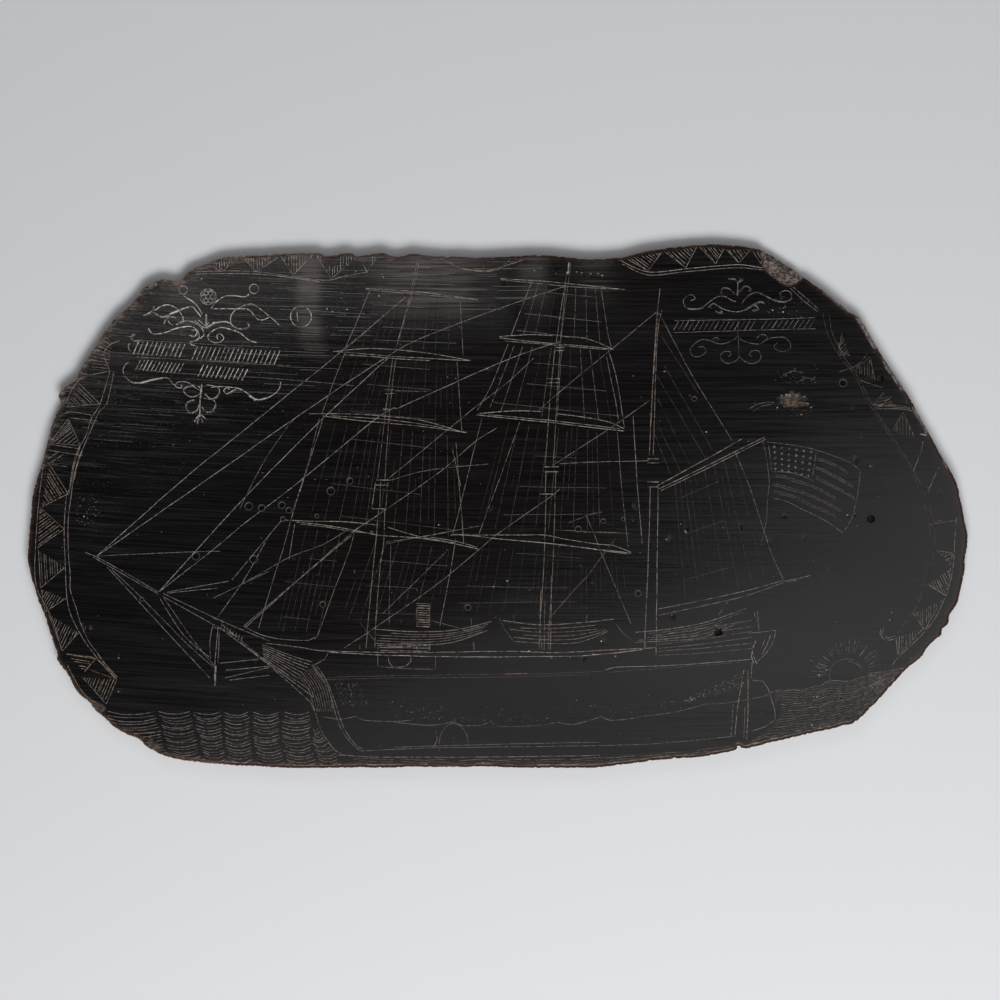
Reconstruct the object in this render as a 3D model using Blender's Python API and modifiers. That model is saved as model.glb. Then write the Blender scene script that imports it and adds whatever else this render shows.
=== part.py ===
"""Engraved baleen panel: one thin plate of black baleen with a ragged outline, lying on its back.

The engraved face looks up (+Z), the top of its picture points to +Y, and the plate is gently domed, so that
it rests on its rim. Sizes are in metres. Places on the face are given on the drawing grid of the reference
photograph, whose y runs down the picture, and on_face() turns them into metres.
"""

import math
import random

import bmesh
import bpy
from mathutils import Matrix, Vector

# Driving sizes of the plate
PANEL_LENGTH = 0.330
PANEL_HEIGHT = 0.184
PANEL_THICKNESS = 0.0036
PANEL_RISE = 0.0024  # how far the flat field of the back stands above an oval rim
FLAT_LENGTH = 0.070  # the flat field in the middle of the back
FLAT_HEIGHT = 0.040
FACET = 0.0220  # widest facet of the dome outside the flat field

# The broken edge
EDGE_STEP = 0.0050
EDGE_ROUGHNESS = 0.00035
EDGE_SEED = 11
CHIP_DEPTH = 0.0011
SPLIT_DEPTH = 0.0008
SPLIT_WIDTH = 0.0017

# Bores and the worn hollow
BORE_RADIUS = 0.00125
SMALL_BORE_RADIUS = 0.00095
SMALL_BORE_DEPTH = 0.0012
BORE_SIDES = 8
HOLLOW_LENGTH = 0.0092
HOLLOW_HEIGHT = 0.0062
HOLLOW_DEPTH = 0.0009

# Engraved lines: V cuts, half as deep as they are wide
LINE_WIDTH = 0.00050
FINE_LINE_WIDTH = 0.00040
LINE_STEP = 0.022  # longest straight piece of a line, so that it follows the dome
LINE_UNEVENNESS = 0.16  # most that a line falls short of its full width, as a hand-cut line does
OVERSHOOT = (0.0003, 0.0008)  # how far a line runs on past each end
CUTTER_LIFT = 0.00012  # height of a cutter's widest part over the face

# The outline on the drawing grid, from the left end round by the top
OUTLINE = (
    (28, 548), (32, 516), (36, 486), (41, 466), (46, 446), (50, 427), (55, 415), (61, 405),
    (58, 396), (63, 388), (72, 381), (80, 369), (90, 353), (101, 336), (112, 321), (126, 308),
    (144, 292), (163, 284), (182, 276), (204, 265), (236, 257), (284, 254), (332, 255), (396, 257),
    (444, 258), (492, 259), (540, 256), (590, 260), (622, 258), (652, 251), (685, 247), (716, 245),
    (750, 248), (766, 252), (781, 262), (796, 272), (812, 284), (830, 296), (847, 311), (862, 320),
    (877, 347), (894, 373), (909, 396), (925, 425), (941, 454), (955, 486), (962, 516), (966, 545),
    (960, 580), (951, 611), (931, 645), (900, 677), (868, 709), (848, 723), (812, 732), (764, 744),
    (744, 748), (739, 745), (733, 750), (700, 756), (660, 759), (620, 764), (588, 767), (540, 766),
    (444, 765), (364, 765), (284, 765), (220, 762), (188, 760), (156, 750), (124, 730), (97, 709),
    (70, 681), (58, 658), (49, 629), (38, 598),
)

# The chip in the top edge, and the stretches where the top layer has split off along the edge
CHIP = ((760, 240), (764, 266), (776, 280), (790, 287), (806, 283), (820, 265))
SPLITS = (
    ((856, 318), (877, 348)),
    ((884, 359), (905, 391)),
    ((914, 408), (931, 436)),
    ((60, 392), (51, 425)),
)

# Insect bores: right through the plate, and blind
BORES = ((718, 632), (871, 519), (880, 379))
SMALL_BORES = (
    (249, 506), (264, 508), (282, 505), (289, 514), (331, 491), (350, 481), (196, 556), (254, 559),
    (323, 604), (468, 607), (578, 529), (638, 593), (843, 383), (603, 521), (694, 399),
)
HOLLOW_CENTRE = (791, 402)

# Masts: head, top of the wider lower part, foot, and the width there
MASTS = {
    "fore": ((419, 263), (396, 356), (371, 650), 9),
    "main": ((571, 262), (557, 344), (544, 650), 9),
    "mizzen": ((660, 288), (654, 330), (651, 650), 10),
}

MAST_SHOULDER = 1.5
MAST_GAP = 4

# Yards: port tip, where the yard crosses its mast, starboard tip
YARDS = {
    "fore": (
        ((365, 289), (414, 293), (478, 300)),
        ((333, 353), (396, 352), (472, 362)),
        ((311, 416), (388, 419), (467, 433)),
        ((284, 521), (380, 526), (481, 549)),
    ),
    "main": (
        ((500, 279), (567, 284), (625, 290)),
        ((499, 338), (557, 340), (614, 350)),
        ((477, 415), (551, 417), (623, 430)),
        ((451, 536), (545, 538), (632, 553)),
    ),
}
SAIL_INSET = 0.06  # share of its yard that a sail leaves free at each end
SAIL_GAP = 3
SAIL_FOOT = {"fore": ((259, 628), (441, 624)), "main": ((440, 626), (629, 620))}

GAFF = ((657, 486), (765, 438))
BOOM = ((657, 611), (812, 575))
SPANKER_LEECH = ((735, 452), (762, 526), (784, 581))
GAFF_SAIL = ((659, 314), (734, 441), (680, 474))
BOWSPRIT = ((86, 553), (159, 592), (215, 621), (265, 646))
STRIKER = ((218, 617), (215, 686))
STAYS = (
    ((97, 556), (183, 480), (345, 349), (406, 297)),
    ((97, 556), (280, 429), (566, 286)),
    ((160, 592), (327, 418), (394, 360)),
    ((98, 558), (216, 681), (277, 674)),
    ((161, 594), (215, 670), (261, 659)),
    ((344, 650), (479, 550), (560, 487)),
    ((280, 493), (380, 416), (543, 348)),
    ((657, 312), (560, 392)),
    ((648, 462), (556, 465)),
)

# The hull, from the rail down
RAIL = ((266, 644), (301, 649), (424, 653), (560, 652), (657, 642), (776, 630))
WALE = ((326, 679), (424, 675), (560, 673), (673, 666), (755, 659))
WATERLINE = ((322, 716), (380, 720), (471, 724), (557, 722), (643, 716), (749, 699))
KEEL = ((338, 755), (383, 757), (560, 756), (663, 744), (735, 736))
STEM = ((311, 664), (330, 693), (340, 726), (362, 752))
CUTWATER = ((298, 674), (316, 714), (322, 732), (342, 756))
HEAD_RAILS = (((264, 651), (313, 667)), ((270, 656), (314, 675)))
STERN_POST = ((746, 671), (741, 738))
TRANSOM = ((776, 630), (771, 643), (757, 663))
RUDDER = ((753, 679), (764, 681), (776, 710), (776, 720), (751, 734))
# The boats on deck: bow, lowest place of the rim, stern, and the keel's after and forward ends
BOAT_GAP = 4
BOATS = (
    ((361, 623), (424, 632), (492, 624), (478, 640), (375, 642)),
    ((499, 618), (555, 627), (616, 620), (604, 637), (512, 640)),
    ((617, 627), (680, 628), (746, 609), (735, 627), (633, 641)),
)

# The flag: the upper edge, and how far its hoist and fly reach down
FLAG_TOP = ((767, 444), (815, 452), (860, 470))
FLAG_DROP = ((3, 54), (6, 63), (-17, 63))
FLAG_STRIPES = 5
FLAG_GAP = 4
CANTON_SHARE = (0.47, 0.56)

# The border: its inner line, and how far the triangles reach outwards from it
BORDERS = {
    "left": ((114, 371), (101, 405), (81, 446), (71, 487), (66, 521), (69, 588), (89, 643), (117, 679)),
    "top": ((197, 274), (291, 276), (368, 274)),
    "top_right": ((619, 260), (648, 272), (764, 267)),
    "right": (
        (789, 287), (818, 310), (837, 352), (872, 408), (909, 473), (928, 517), (931, 547), (925, 584),
        (896, 634),
    ),
}
BORDER_TEETH = {"left": 9, "top": 4, "top_right": 4, "right": 10}
BORDER_REACH = {"left": 26, "top": -16, "top_right": -17, "right": -22}
BORDER_GAP = 2
BORDER_END = 0.02  # share of the inner line that the first and last triangles leave free

# Scrolls round the marks: centre, outer radius, turns, way round, and first angle in degrees
SCROLLS = (
    ((173, 318), 12, 1.6, 1, 180), ((250, 320), 12, 1.6, -1, 0), ((193, 338), 9, 1.5, -1, 90),
    ((222, 341), 9, 1.5, 1, 90), ((713, 299), 10, 1.5, 1, 200), ((762, 299), 10, 1.5, -1, -20),
    ((699, 351), 8, 1.6, 1, 90), ((782, 348), 8, 1.6, -1, 90), ((727, 356), 9, 1.6, -1, 180),
    ((752, 356), 9, 1.6, 1, 0),
)
SCROLL_POINTS = 7  # points in each turn
SCROLL_CLOSING = 0.72  # share of the radius that a scroll loses on its way in
STEMS = (
    ((208, 298), (206, 325)),
    ((128, 364), (134, 382), (175, 383), (199, 391)),
    ((210, 388), (255, 398), (280, 381)),
    ((738, 283), (738, 361)),
)
# Rows of plain slanting marks: start, end, height, number of marks
MARK_ROWS = (
    ((133, 348), (277, 357), 15, 17), ((138, 366), (182, 369), 11, 6), ((201, 372), (245, 374), 11, 6),
    ((676, 325), (814, 327), 12, 17),
)
MARK_LEAN = 2
ROSETTE_CENTRE = (200, 400)
ROSETTE_RADIUS = 9
PETAL_RADIUS = 5
PETAL_POINTS = 8

# The sea and the low sun
SEA_CUSPS_LEFT = (118, 150, 182, 213, 244, 276, 306)
SEA_ROWS_LEFT = (720, 734, 748)
SEA_SAG = 5
SEA_SLANT = 0.35
SEA_GAP = 2.5
SEA_STEP = 12
SEA_LINES_RIGHT = (
    ((778, 700), (806, 694), (829, 690), (858, 690)),
    ((778, 714), (812, 707), (846, 705)),
)
SUN_CENTRE = (847, 670)
SUN_RADIUS = 15
SUN_POINTS = 10
SUN_RAYS = 11
RAY_INNER = 20
RAY_OUTER = 38

COLOUR = (0.012, 0.010, 0.009, 1.0)
ROUGHNESS = 0.42


def spline_point(before, start, end, after, t):
    """A point of the smooth curve through start and end, on any number of axes."""
    return tuple(
        0.5 * (2 * b + (c - a) * t + (2 * a - 5 * b + 4 * c - d) * t * t + (3 * b - a - 3 * c + d) * t**3)
        for a, b, c, d in zip(before, start, end, after, strict=True)
    )


def smooth_path(points, step, closed=False):
    """Points about a step apart along a smooth curve through the given ones."""
    count = len(points)
    path = []
    for i in range(count if closed else count - 1):
        if closed:
            around = [points[(i + k) % count] for k in (-1, 0, 1, 2)]
        else:
            around = [points[min(max(i + k, 0), count - 1)] for k in (-1, 0, 1, 2)]
        pieces = max(1, round(math.dist(around[1], around[2]) / step))
        path += [spline_point(*around, n / pieces) for n in range(pieces)]
    return path if closed else path + [points[-1]]


def ragged_outline():
    """The outline on the drawing grid, with small breaks along it."""
    chance = random.Random(EDGE_SEED)
    grid_per_metre = (max(x for x, y in OUTLINE) - min(x for x, y in OUTLINE)) / PANEL_LENGTH
    path = smooth_path(OUTLINE, EDGE_STEP * grid_per_metre, closed=True)
    ragged = []
    for i, point in enumerate(path):
        along = Vector(path[(i + 1) % len(path)]) - Vector(path[i - 1])
        outward = Vector((along.y, -along.x)).normalized()
        shift = chance.uniform(-1, 0) * EDGE_ROUGHNESS * grid_per_metre
        ragged.append(tuple(Vector(point) + outward * shift))
    return ragged


RIM = ragged_outline()
GRID_LEFT = min(x for x, y in RIM)
GRID_RIGHT = max(x for x, y in RIM)
GRID_TOP = min(y for x, y in RIM)
GRID_BOTTOM = max(y for x, y in RIM)
SCALE_X = PANEL_LENGTH / (GRID_RIGHT - GRID_LEFT)
SCALE_Y = PANEL_HEIGHT / (GRID_BOTTOM - GRID_TOP)


def on_face(point):
    """Metres from the middle of the panel for a place on the drawing grid."""
    x, y = point
    return (
        (x - (GRID_LEFT + GRID_RIGHT) / 2) * SCALE_X,
        ((GRID_TOP + GRID_BOTTOM) / 2 - y) * SCALE_Y,
    )


def facet_lines(flat, whole):
    """Places of the facets' edges on one axis: the flat field is one facet, the last lies past the rim."""
    steps = math.ceil((whole - flat) / 2 / FACET)
    return [flat / 2 + n * (whole - flat) / 2 / steps for n in range(steps + 2)]


LINES_X = facet_lines(FLAT_LENGTH, PANEL_LENGTH)
LINES_Y = facet_lines(FLAT_HEIGHT, PANEL_HEIGHT)


def fall(place, lines, whole):
    """How far the dome has fallen at a place on one axis, as a share of its rise, in flat facets."""
    place = abs(place)
    drops = [((line - lines[0]) / (whole / 2 - lines[0])) ** 2 for line in lines]
    for n in range(1, len(lines)):
        if lines[n - 1] <= place <= lines[n]:
            share = (place - lines[n - 1]) / (lines[n] - lines[n - 1])
            return drops[n - 1] + (drops[n] - drops[n - 1]) * share
    return 0.0


def dome(x, y):
    """Height of the back over the level of an oval rim."""
    return PANEL_RISE * (1 - fall(x, LINES_X, PANEL_LENGTH) - fall(y, LINES_Y, PANEL_HEIGHT))


RIM_LEVEL = min(dome(*on_face(point)) for point in RIM)


def back_height(x, y):
    return dome(x, y) - RIM_LEVEL


def face_height(x, y):
    return back_height(x, y) + PANEL_THICKNESS


def new_collection(name):
    collection = bpy.data.collections.new(name)
    bpy.context.scene.collection.children.link(collection)
    return collection


def link(name, data, collection):
    obj = bpy.data.objects.new(name, data)
    collection.objects.link(obj)
    return obj


def move_to(obj, collection):
    for old in obj.users_collection:
        old.objects.unlink(obj)
    collection.objects.link(obj)


def hide_cutter(obj):
    obj.hide_render = True
    obj.display_type = "WIRE"
    return obj


def curve_to_mesh(curve_object, collection):
    """Replaces a curve object by a mesh object of the same name and place, with its caps welded."""
    graph = bpy.context.evaluated_depsgraph_get()
    mesh = bpy.data.meshes.new_from_object(curve_object.evaluated_get(graph))
    name = curve_object.name
    place = curve_object.matrix_world.copy()
    curve = curve_object.data
    bpy.data.objects.remove(curve_object)
    bpy.data.curves.remove(curve)
    obj = link(name, mesh, collection)
    obj.matrix_world = place
    weld = obj.modifiers.new("weld caps", "WELD")
    weld.merge_threshold = 0.00001
    return obj


def prism(name, points, low, high, collection):
    """A mesh prism over a closed outline on the drawing grid, between two heights."""
    curve = bpy.data.curves.new(name, "CURVE")
    curve.dimensions = "2D"
    curve.fill_mode = "BOTH"
    curve.extrude = (high - low) / 2
    spline = curve.splines.new("POLY")
    spline.points.add(len(points) - 1)
    for target, point in zip(spline.points, points, strict=True):
        target.co = (*on_face(point), 0, 1)
    spline.use_cyclic_u = True
    obj = link(name, curve, collection)
    obj.location.z = (high + low) / 2
    bpy.context.view_layer.update()
    return hide_cutter(curve_to_mesh(obj, collection))


def drill(name, bores, collection):
    """One cutter of upright cylinders, each given by its place, its radius and its two levels."""
    mesh = bpy.data.meshes.new(name)
    drills = bmesh.new()
    for place, radius, low, high in bores:
        x, y = on_face(place)
        bmesh.ops.create_cone(
            drills, cap_ends=True, segments=BORE_SIDES, radius1=radius, radius2=radius, depth=high - low,
            matrix=Matrix.Translation((x, y, (low + high) / 2)),
        )
    drills.to_mesh(mesh)
    drills.free()
    return hide_cutter(link(name, mesh, collection))


def engraving(name, lines, width, collection):
    """One cutter of many lines, each a tube of four sides whose lower half cuts a V in the face."""
    curve = bpy.data.curves.new(name, "CURVE")
    curve.dimensions = "3D"
    curve.twist_mode = "Z_UP"
    curve.bevel_depth = width / 2 + CUTTER_LIFT
    curve.bevel_resolution = 0
    curve.use_fill_caps = True
    chance = random.Random(name)
    for line in lines:
        share = 1 - chance.uniform(0, LINE_UNEVENNESS)
        flat = [Vector(on_face(point)) for point in line]
        flat[0] += (flat[0] - flat[1]).normalized() * chance.uniform(*OVERSHOOT)
        flat[-1] += (flat[-1] - flat[-2]).normalized() * chance.uniform(*OVERSHOOT)
        spline = curve.splines.new("POLY")
        spline.points.add(len(flat) - 1)
        for target, (x, y) in zip(spline.points, flat, strict=True):
            target.co = (x, y, face_height(x, y) + CUTTER_LIFT, 1)
            target.radius = share
    obj = link(name, curve, collection)
    bpy.context.view_layer.update()
    return hide_cutter(curve_to_mesh(obj, collection))


def cut(obj, cutter, operation, crossing):
    boolean = obj.modifiers.new(f"{operation.lower()} {cutter.name}", "BOOLEAN")
    boolean.operation = operation
    boolean.solver = "EXACT"
    boolean.use_self = crossing
    boolean.object = cutter


def line_through(points):
    """A smooth line in pieces short enough to follow the dome."""
    return smooth_path(points, LINE_STEP / SCALE_X)


def between(start, end, share):
    return tuple(a + (b - a) * share for a, b in zip(start, end, strict=True))


def on_path(points, share):
    """The place at a share of the way along a path."""
    lengths = [math.dist(a, b) for a, b in zip(points, points[1:])]
    left = share * sum(lengths)
    for (a, b), length in zip(zip(points, points[1:]), lengths, strict=True):
        if left <= length:
            return between(a, b, left / length)
        left -= length
    return points[-1]


def mast_lines():
    lines = []
    for head, joint, foot, width in MASTS.values():
        lines.append(line_through((head, joint)))
        for side in (-1, 1):
            shoulder = (joint[0] + side * MAST_SHOULDER, joint[1] + MAST_GAP)
            lines.append(line_through((shoulder, (foot[0] + side * width / 2, foot[1]))))
    return lines


def yard_lines():
    lines = [line_through(yard) for rig in YARDS.values() for yard in rig]
    lines += [line_through(GAFF), line_through(BOOM)]
    return lines


def sail_lines():
    """The side edges of each sail, from the corners on its own yard to the yard below."""
    lines = []
    for name, rig in YARDS.items():
        lower = [(yard[0], yard[-1]) for yard in rig[1:]] + [SAIL_FOOT[name]]
        for yard, (left, right) in zip(rig, lower, strict=True):
            for share, end, inward in ((SAIL_INSET, left, SAIL_GAP), (1 - SAIL_INSET, right, -SAIL_GAP)):
                start = on_path(yard, share)
                lines.append(line_through(((start[0], start[1] + SAIL_GAP), (end[0] + inward, end[1]))))
    lines += [line_through(SPANKER_LEECH), line_through(GAFF_SAIL)]
    return lines


def rigging_lines():
    return [line_through(path) for path in (*STAYS, BOWSPRIT, STRIKER)]


def hull_lines():
    paths = (RAIL, WALE, WATERLINE, KEEL, STEM, CUTWATER, *HEAD_RAILS, STERN_POST, TRANSOM, RUDDER)
    lines = [line_through(path) for path in paths]
    for bow, low, stern, aft, fore in BOATS:
        under_bow = (bow[0] + BOAT_GAP, bow[1] + BOAT_GAP)
        under_stern = (stern[0] - BOAT_GAP / 2, stern[1] + BOAT_GAP)
        lines.append(line_through((bow, low, stern)))
        lines.append(line_through((under_bow, fore, aft, under_stern)))
    return lines


def flag_lines():
    """The flag's stripes, which follow its wavy upper edge, its fly and its canton."""
    stripes = []
    for n in range(FLAG_STRIPES + 1):
        share = n / FLAG_STRIPES
        places = zip(FLAG_TOP, FLAG_DROP, strict=True)
        edge = [(x + across * share, y + down * share) for (x, y), (across, down) in places]
        stripes.append(smooth_path(edge, LINE_STEP / SCALE_X / 2))
    across, down = CANTON_SHARE
    fly = [stripe[-1] for stripe in stripes]
    corner = on_path(stripes[round(down * FLAG_STRIPES)], across)
    canton = [on_path(stripes[0], across), corner]
    hoist = [stripe[0] for stripe in stripes]
    first_whole = round(down * FLAG_STRIPES)
    lines = [stripes[0], *stripes[first_whole:], fly, hoist, canton]
    for stripe in stripes[1:first_whole]:
        start = on_path(stripe, across)
        lines.append([start] + [point for point in stripe if point[0] > start[0] + FLAG_GAP])
    return lines


def border_lines():
    lines = []
    for name, path in BORDERS.items():
        inner = line_through(path)
        lines.append(inner)
        teeth = BORDER_TEETH[name]
        zigzag = []
        for n in range(teeth * 2 + 1):
            share = min(max(n / (teeth * 2), BORDER_END), 1 - BORDER_END)
            place = Vector(on_path(inner, share))
            ahead = Vector(on_path(inner, share + BORDER_END)) - Vector(on_path(inner, share - BORDER_END))
            outward = Vector((-ahead.y, ahead.x)).normalized()
            reach = BORDER_REACH[name] if n % 2 else math.copysign(BORDER_GAP, BORDER_REACH[name])
            zigzag.append(tuple(place + outward * reach))
        lines.append(zigzag)
    return lines


def scroll_lines():
    lines = [smooth_path(path, LINE_STEP / SCALE_X / 2) for path in STEMS]
    for centre, radius, turns, way, first in SCROLLS:
        count = round(turns * SCROLL_POINTS)
        spiral = []
        for n in range(count + 1):
            angle = math.radians(first) + way * 2 * math.pi * turns * n / count
            spiral.append(around(centre, radius * (1 - SCROLL_CLOSING * n / count), angle))
        lines.append(spiral)
    return lines


def mark_lines():
    """Rows of plain parallel slanting strokes."""
    lines = []
    for start, end, height, count in MARK_ROWS:
        for n in range(count):
            x, y = between(start, end, n / (count - 1))
            lines.append([(x + MARK_LEAN, y - height / 2), (x - MARK_LEAN, y + height / 2)])
    return lines


def around(centre, radius, angle):
    """The place at a radius and an angle, which is in radians and turns down the picture from +X."""
    return (centre[0] + radius * math.cos(angle), centre[1] + radius * math.sin(angle))


def rosette_lines():
    """Four round petals, each left a little open."""
    lines = []
    for quarter in range(4):
        middle = around(ROSETTE_CENTRE, ROSETTE_RADIUS, math.pi / 4 + quarter * math.pi / 2)
        turns = [2 * math.pi * n / PETAL_POINTS for n in range(PETAL_POINTS)]
        lines.append([around(middle, PETAL_RADIUS, turn) for turn in turns])
    return lines


def sea_lines():
    """Left of the ship, rows of hanging scallops whose columns lean aft; right of it, long waves."""
    lines = []
    for y in SEA_ROWS_LEFT:
        slant = (y - SEA_ROWS_LEFT[0]) * SEA_SLANT
        for left, right in zip(SEA_CUSPS_LEFT, SEA_CUSPS_LEFT[1:]):
            start = (left + slant + SEA_GAP, y)
            end = (right + slant - SEA_GAP, y)
            lowest = ((start[0] + end[0]) / 2, y + SEA_SAG)
            lines.append(smooth_path((start, lowest, end), SEA_STEP))
    return lines + [line_through(path) for path in SEA_LINES_RIGHT]


def sun_lines():
    """The upper half of a round sun, with its rays."""
    lines = [[around(SUN_CENTRE, SUN_RADIUS, -math.pi * n / SUN_POINTS) for n in range(SUN_POINTS + 1)]]
    for n in range(SUN_RAYS):
        angle = -math.pi * (n + 0.5) / SUN_RAYS
        lines.append([around(SUN_CENTRE, reach, angle) for reach in (RAY_INNER, RAY_OUTER)])
    return lines


def baleen_material():
    material = bpy.data.materials.new("black baleen")
    material.use_nodes = True
    shader = material.node_tree.nodes["Principled BSDF"]
    shader.inputs["Base Color"].default_value = COLOUR
    shader.inputs["Roughness"].default_value = ROUGHNESS
    shader.inputs["Metallic"].default_value = 0.0
    return material


def domed_sheet(collection):
    """A sheet wider than the panel that follows the dome, thickened upwards from its back."""
    lines_x = [-line for line in reversed(LINES_X)] + LINES_X
    lines_y = [-line for line in reversed(LINES_Y)] + LINES_Y
    cells_x = len(lines_x) - 1
    cells_y = len(lines_y) - 1
    bpy.ops.mesh.primitive_grid_add(x_subdivisions=cells_x, y_subdivisions=cells_y, size=2)
    obj = bpy.context.object
    obj.name = "baleen_panel"
    move_to(obj, collection)
    for vertex in obj.data.vertices:
        x = lines_x[round((vertex.co.x + 1) / 2 * cells_x)]
        y = lines_y[round((vertex.co.y + 1) / 2 * cells_y)]
        vertex.co = (x, y, back_height(x, y))
    thicken = obj.modifiers.new("thickness", "SOLIDIFY")
    thicken.thickness = PANEL_THICKNESS
    thicken.offset = 1
    return obj


def split_strip(start, end, name, cutters):
    """A strip along the edge between two places on it, from which the top layer is gone."""
    a = Vector(start)
    b = Vector(end)
    centre = Vector(((GRID_LEFT + GRID_RIGHT) / 2, (GRID_TOP + GRID_BOTTOM) / 2))
    inward = Vector((-(b - a).y, (b - a).x)).normalized()
    if inward.dot(centre - a) < 0:
        inward = -inward
    width = SPLIT_WIDTH / SCALE_X
    outline = [a - inward * width, a + inward * width * 0.4, a.lerp(b, 0.3) + inward * width]
    outline += [a.lerp(b, 0.75) + inward * width * 0.8, b + inward * width * 0.2, b - inward * width]
    floor = min(face_height(*on_face(point)) for point in outline[1:5]) - SPLIT_DEPTH
    return prism(name, [tuple(point) for point in outline], floor, floor + PANEL_THICKNESS, cutters)


def worn_hollow(cutters):
    bpy.ops.mesh.primitive_ico_sphere_add(subdivisions=2, radius=1)
    obj = bpy.context.object
    obj.name = "worn hollow"
    x, y = on_face(HOLLOW_CENTRE)
    for vertex in obj.data.vertices:
        vertex.co.x *= HOLLOW_LENGTH / 2
        vertex.co.y *= HOLLOW_HEIGHT / 2
        vertex.co.z *= HOLLOW_DEPTH
    obj.location = (x, y, face_height(x, y))
    move_to(obj, cutters)
    return hide_cutter(obj)


def cutting_tools(cutters):
    """Every cutter in the order of its cut, with the kind of cut and whether the cutter crosses itself."""
    top = face_height(0, 0)
    tools = [(prism("outline", RIM, -PANEL_THICKNESS, top + PANEL_THICKNESS, cutters), "INTERSECT", False)]

    floor = face_height(*on_face(CHIP[3])) - CHIP_DEPTH
    tools.append((prism("chip", CHIP, floor, floor + PANEL_THICKNESS, cutters), "DIFFERENCE", False))
    for n, (start, end) in enumerate(SPLITS):
        tools.append((split_strip(start, end, f"split {n}", cutters), "DIFFERENCE", False))
    tools.append((worn_hollow(cutters), "DIFFERENCE", False))

    engravings = {
        "masts": (mast_lines(), LINE_WIDTH),
        "yards": (yard_lines(), LINE_WIDTH),
        "sails": (sail_lines(), FINE_LINE_WIDTH),
        "rigging": (rigging_lines(), FINE_LINE_WIDTH),
        "hull": (hull_lines(), LINE_WIDTH),
        "flag": (flag_lines(), FINE_LINE_WIDTH),
        "border": (border_lines(), FINE_LINE_WIDTH),
        "scrolls": (scroll_lines() + rosette_lines(), FINE_LINE_WIDTH),
        "marks": (mark_lines(), LINE_WIDTH),
        "sea and sun": (sea_lines() + sun_lines(), FINE_LINE_WIDTH),
    }
    for name, (lines, width) in engravings.items():
        tools.append((engraving(name, lines, width, cutters), "DIFFERENCE", True))

    bores = [(place, BORE_RADIUS, -PANEL_THICKNESS, top + PANEL_THICKNESS) for place in BORES]
    for place in SMALL_BORES:
        level = face_height(*on_face(place))
        bores.append((place, SMALL_BORE_RADIUS, level - SMALL_BORE_DEPTH, level + PANEL_THICKNESS))
    tools.append((drill("bores", bores, cutters), "DIFFERENCE", False))
    return tools


def build():
    for old in list(bpy.data.objects):
        bpy.data.objects.remove(old)
    panel_parts = new_collection("engraved baleen panel")
    tools = cutting_tools(new_collection("cutters"))
    panel = domed_sheet(panel_parts)
    panel.data.materials.append(baleen_material())
    for cutter, operation, crossing in tools:
        cut(panel, cutter, operation, crossing)


build()
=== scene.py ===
"""Looks of the engraved baleen panel: its engraved, worn and ragged surface as one closed mesh.

Sizes are in metres. Places in the drawing are on the grid of the reference photograph (1000 by 1000, y down
the picture), and to_metres() turns them into places on the panel. Other lengths in the drawing are in grid
steps, about 0.35 mm each. A noise is given by its features per grid step on both axes and its seed.
"""

import math
import random

import bpy
import numpy as np
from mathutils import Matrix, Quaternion, Vector, kdtree, noise
from mathutils.geometry import delaunay_2d_cdt


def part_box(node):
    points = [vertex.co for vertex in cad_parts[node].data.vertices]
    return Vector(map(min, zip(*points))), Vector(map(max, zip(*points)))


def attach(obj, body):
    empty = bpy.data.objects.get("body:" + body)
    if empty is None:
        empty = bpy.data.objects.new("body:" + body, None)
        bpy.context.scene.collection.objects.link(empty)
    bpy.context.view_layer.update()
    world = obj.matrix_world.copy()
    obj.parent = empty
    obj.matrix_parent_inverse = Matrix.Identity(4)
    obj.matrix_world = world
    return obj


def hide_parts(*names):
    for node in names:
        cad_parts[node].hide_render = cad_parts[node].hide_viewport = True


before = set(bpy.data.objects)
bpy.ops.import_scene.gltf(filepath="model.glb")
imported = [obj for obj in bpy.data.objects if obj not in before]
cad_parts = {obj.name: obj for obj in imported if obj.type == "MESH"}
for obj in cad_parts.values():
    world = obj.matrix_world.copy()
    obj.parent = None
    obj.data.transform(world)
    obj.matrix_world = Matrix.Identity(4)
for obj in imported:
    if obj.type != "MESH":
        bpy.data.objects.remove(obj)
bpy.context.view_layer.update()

LOW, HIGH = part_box("baleen_panel")

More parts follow.
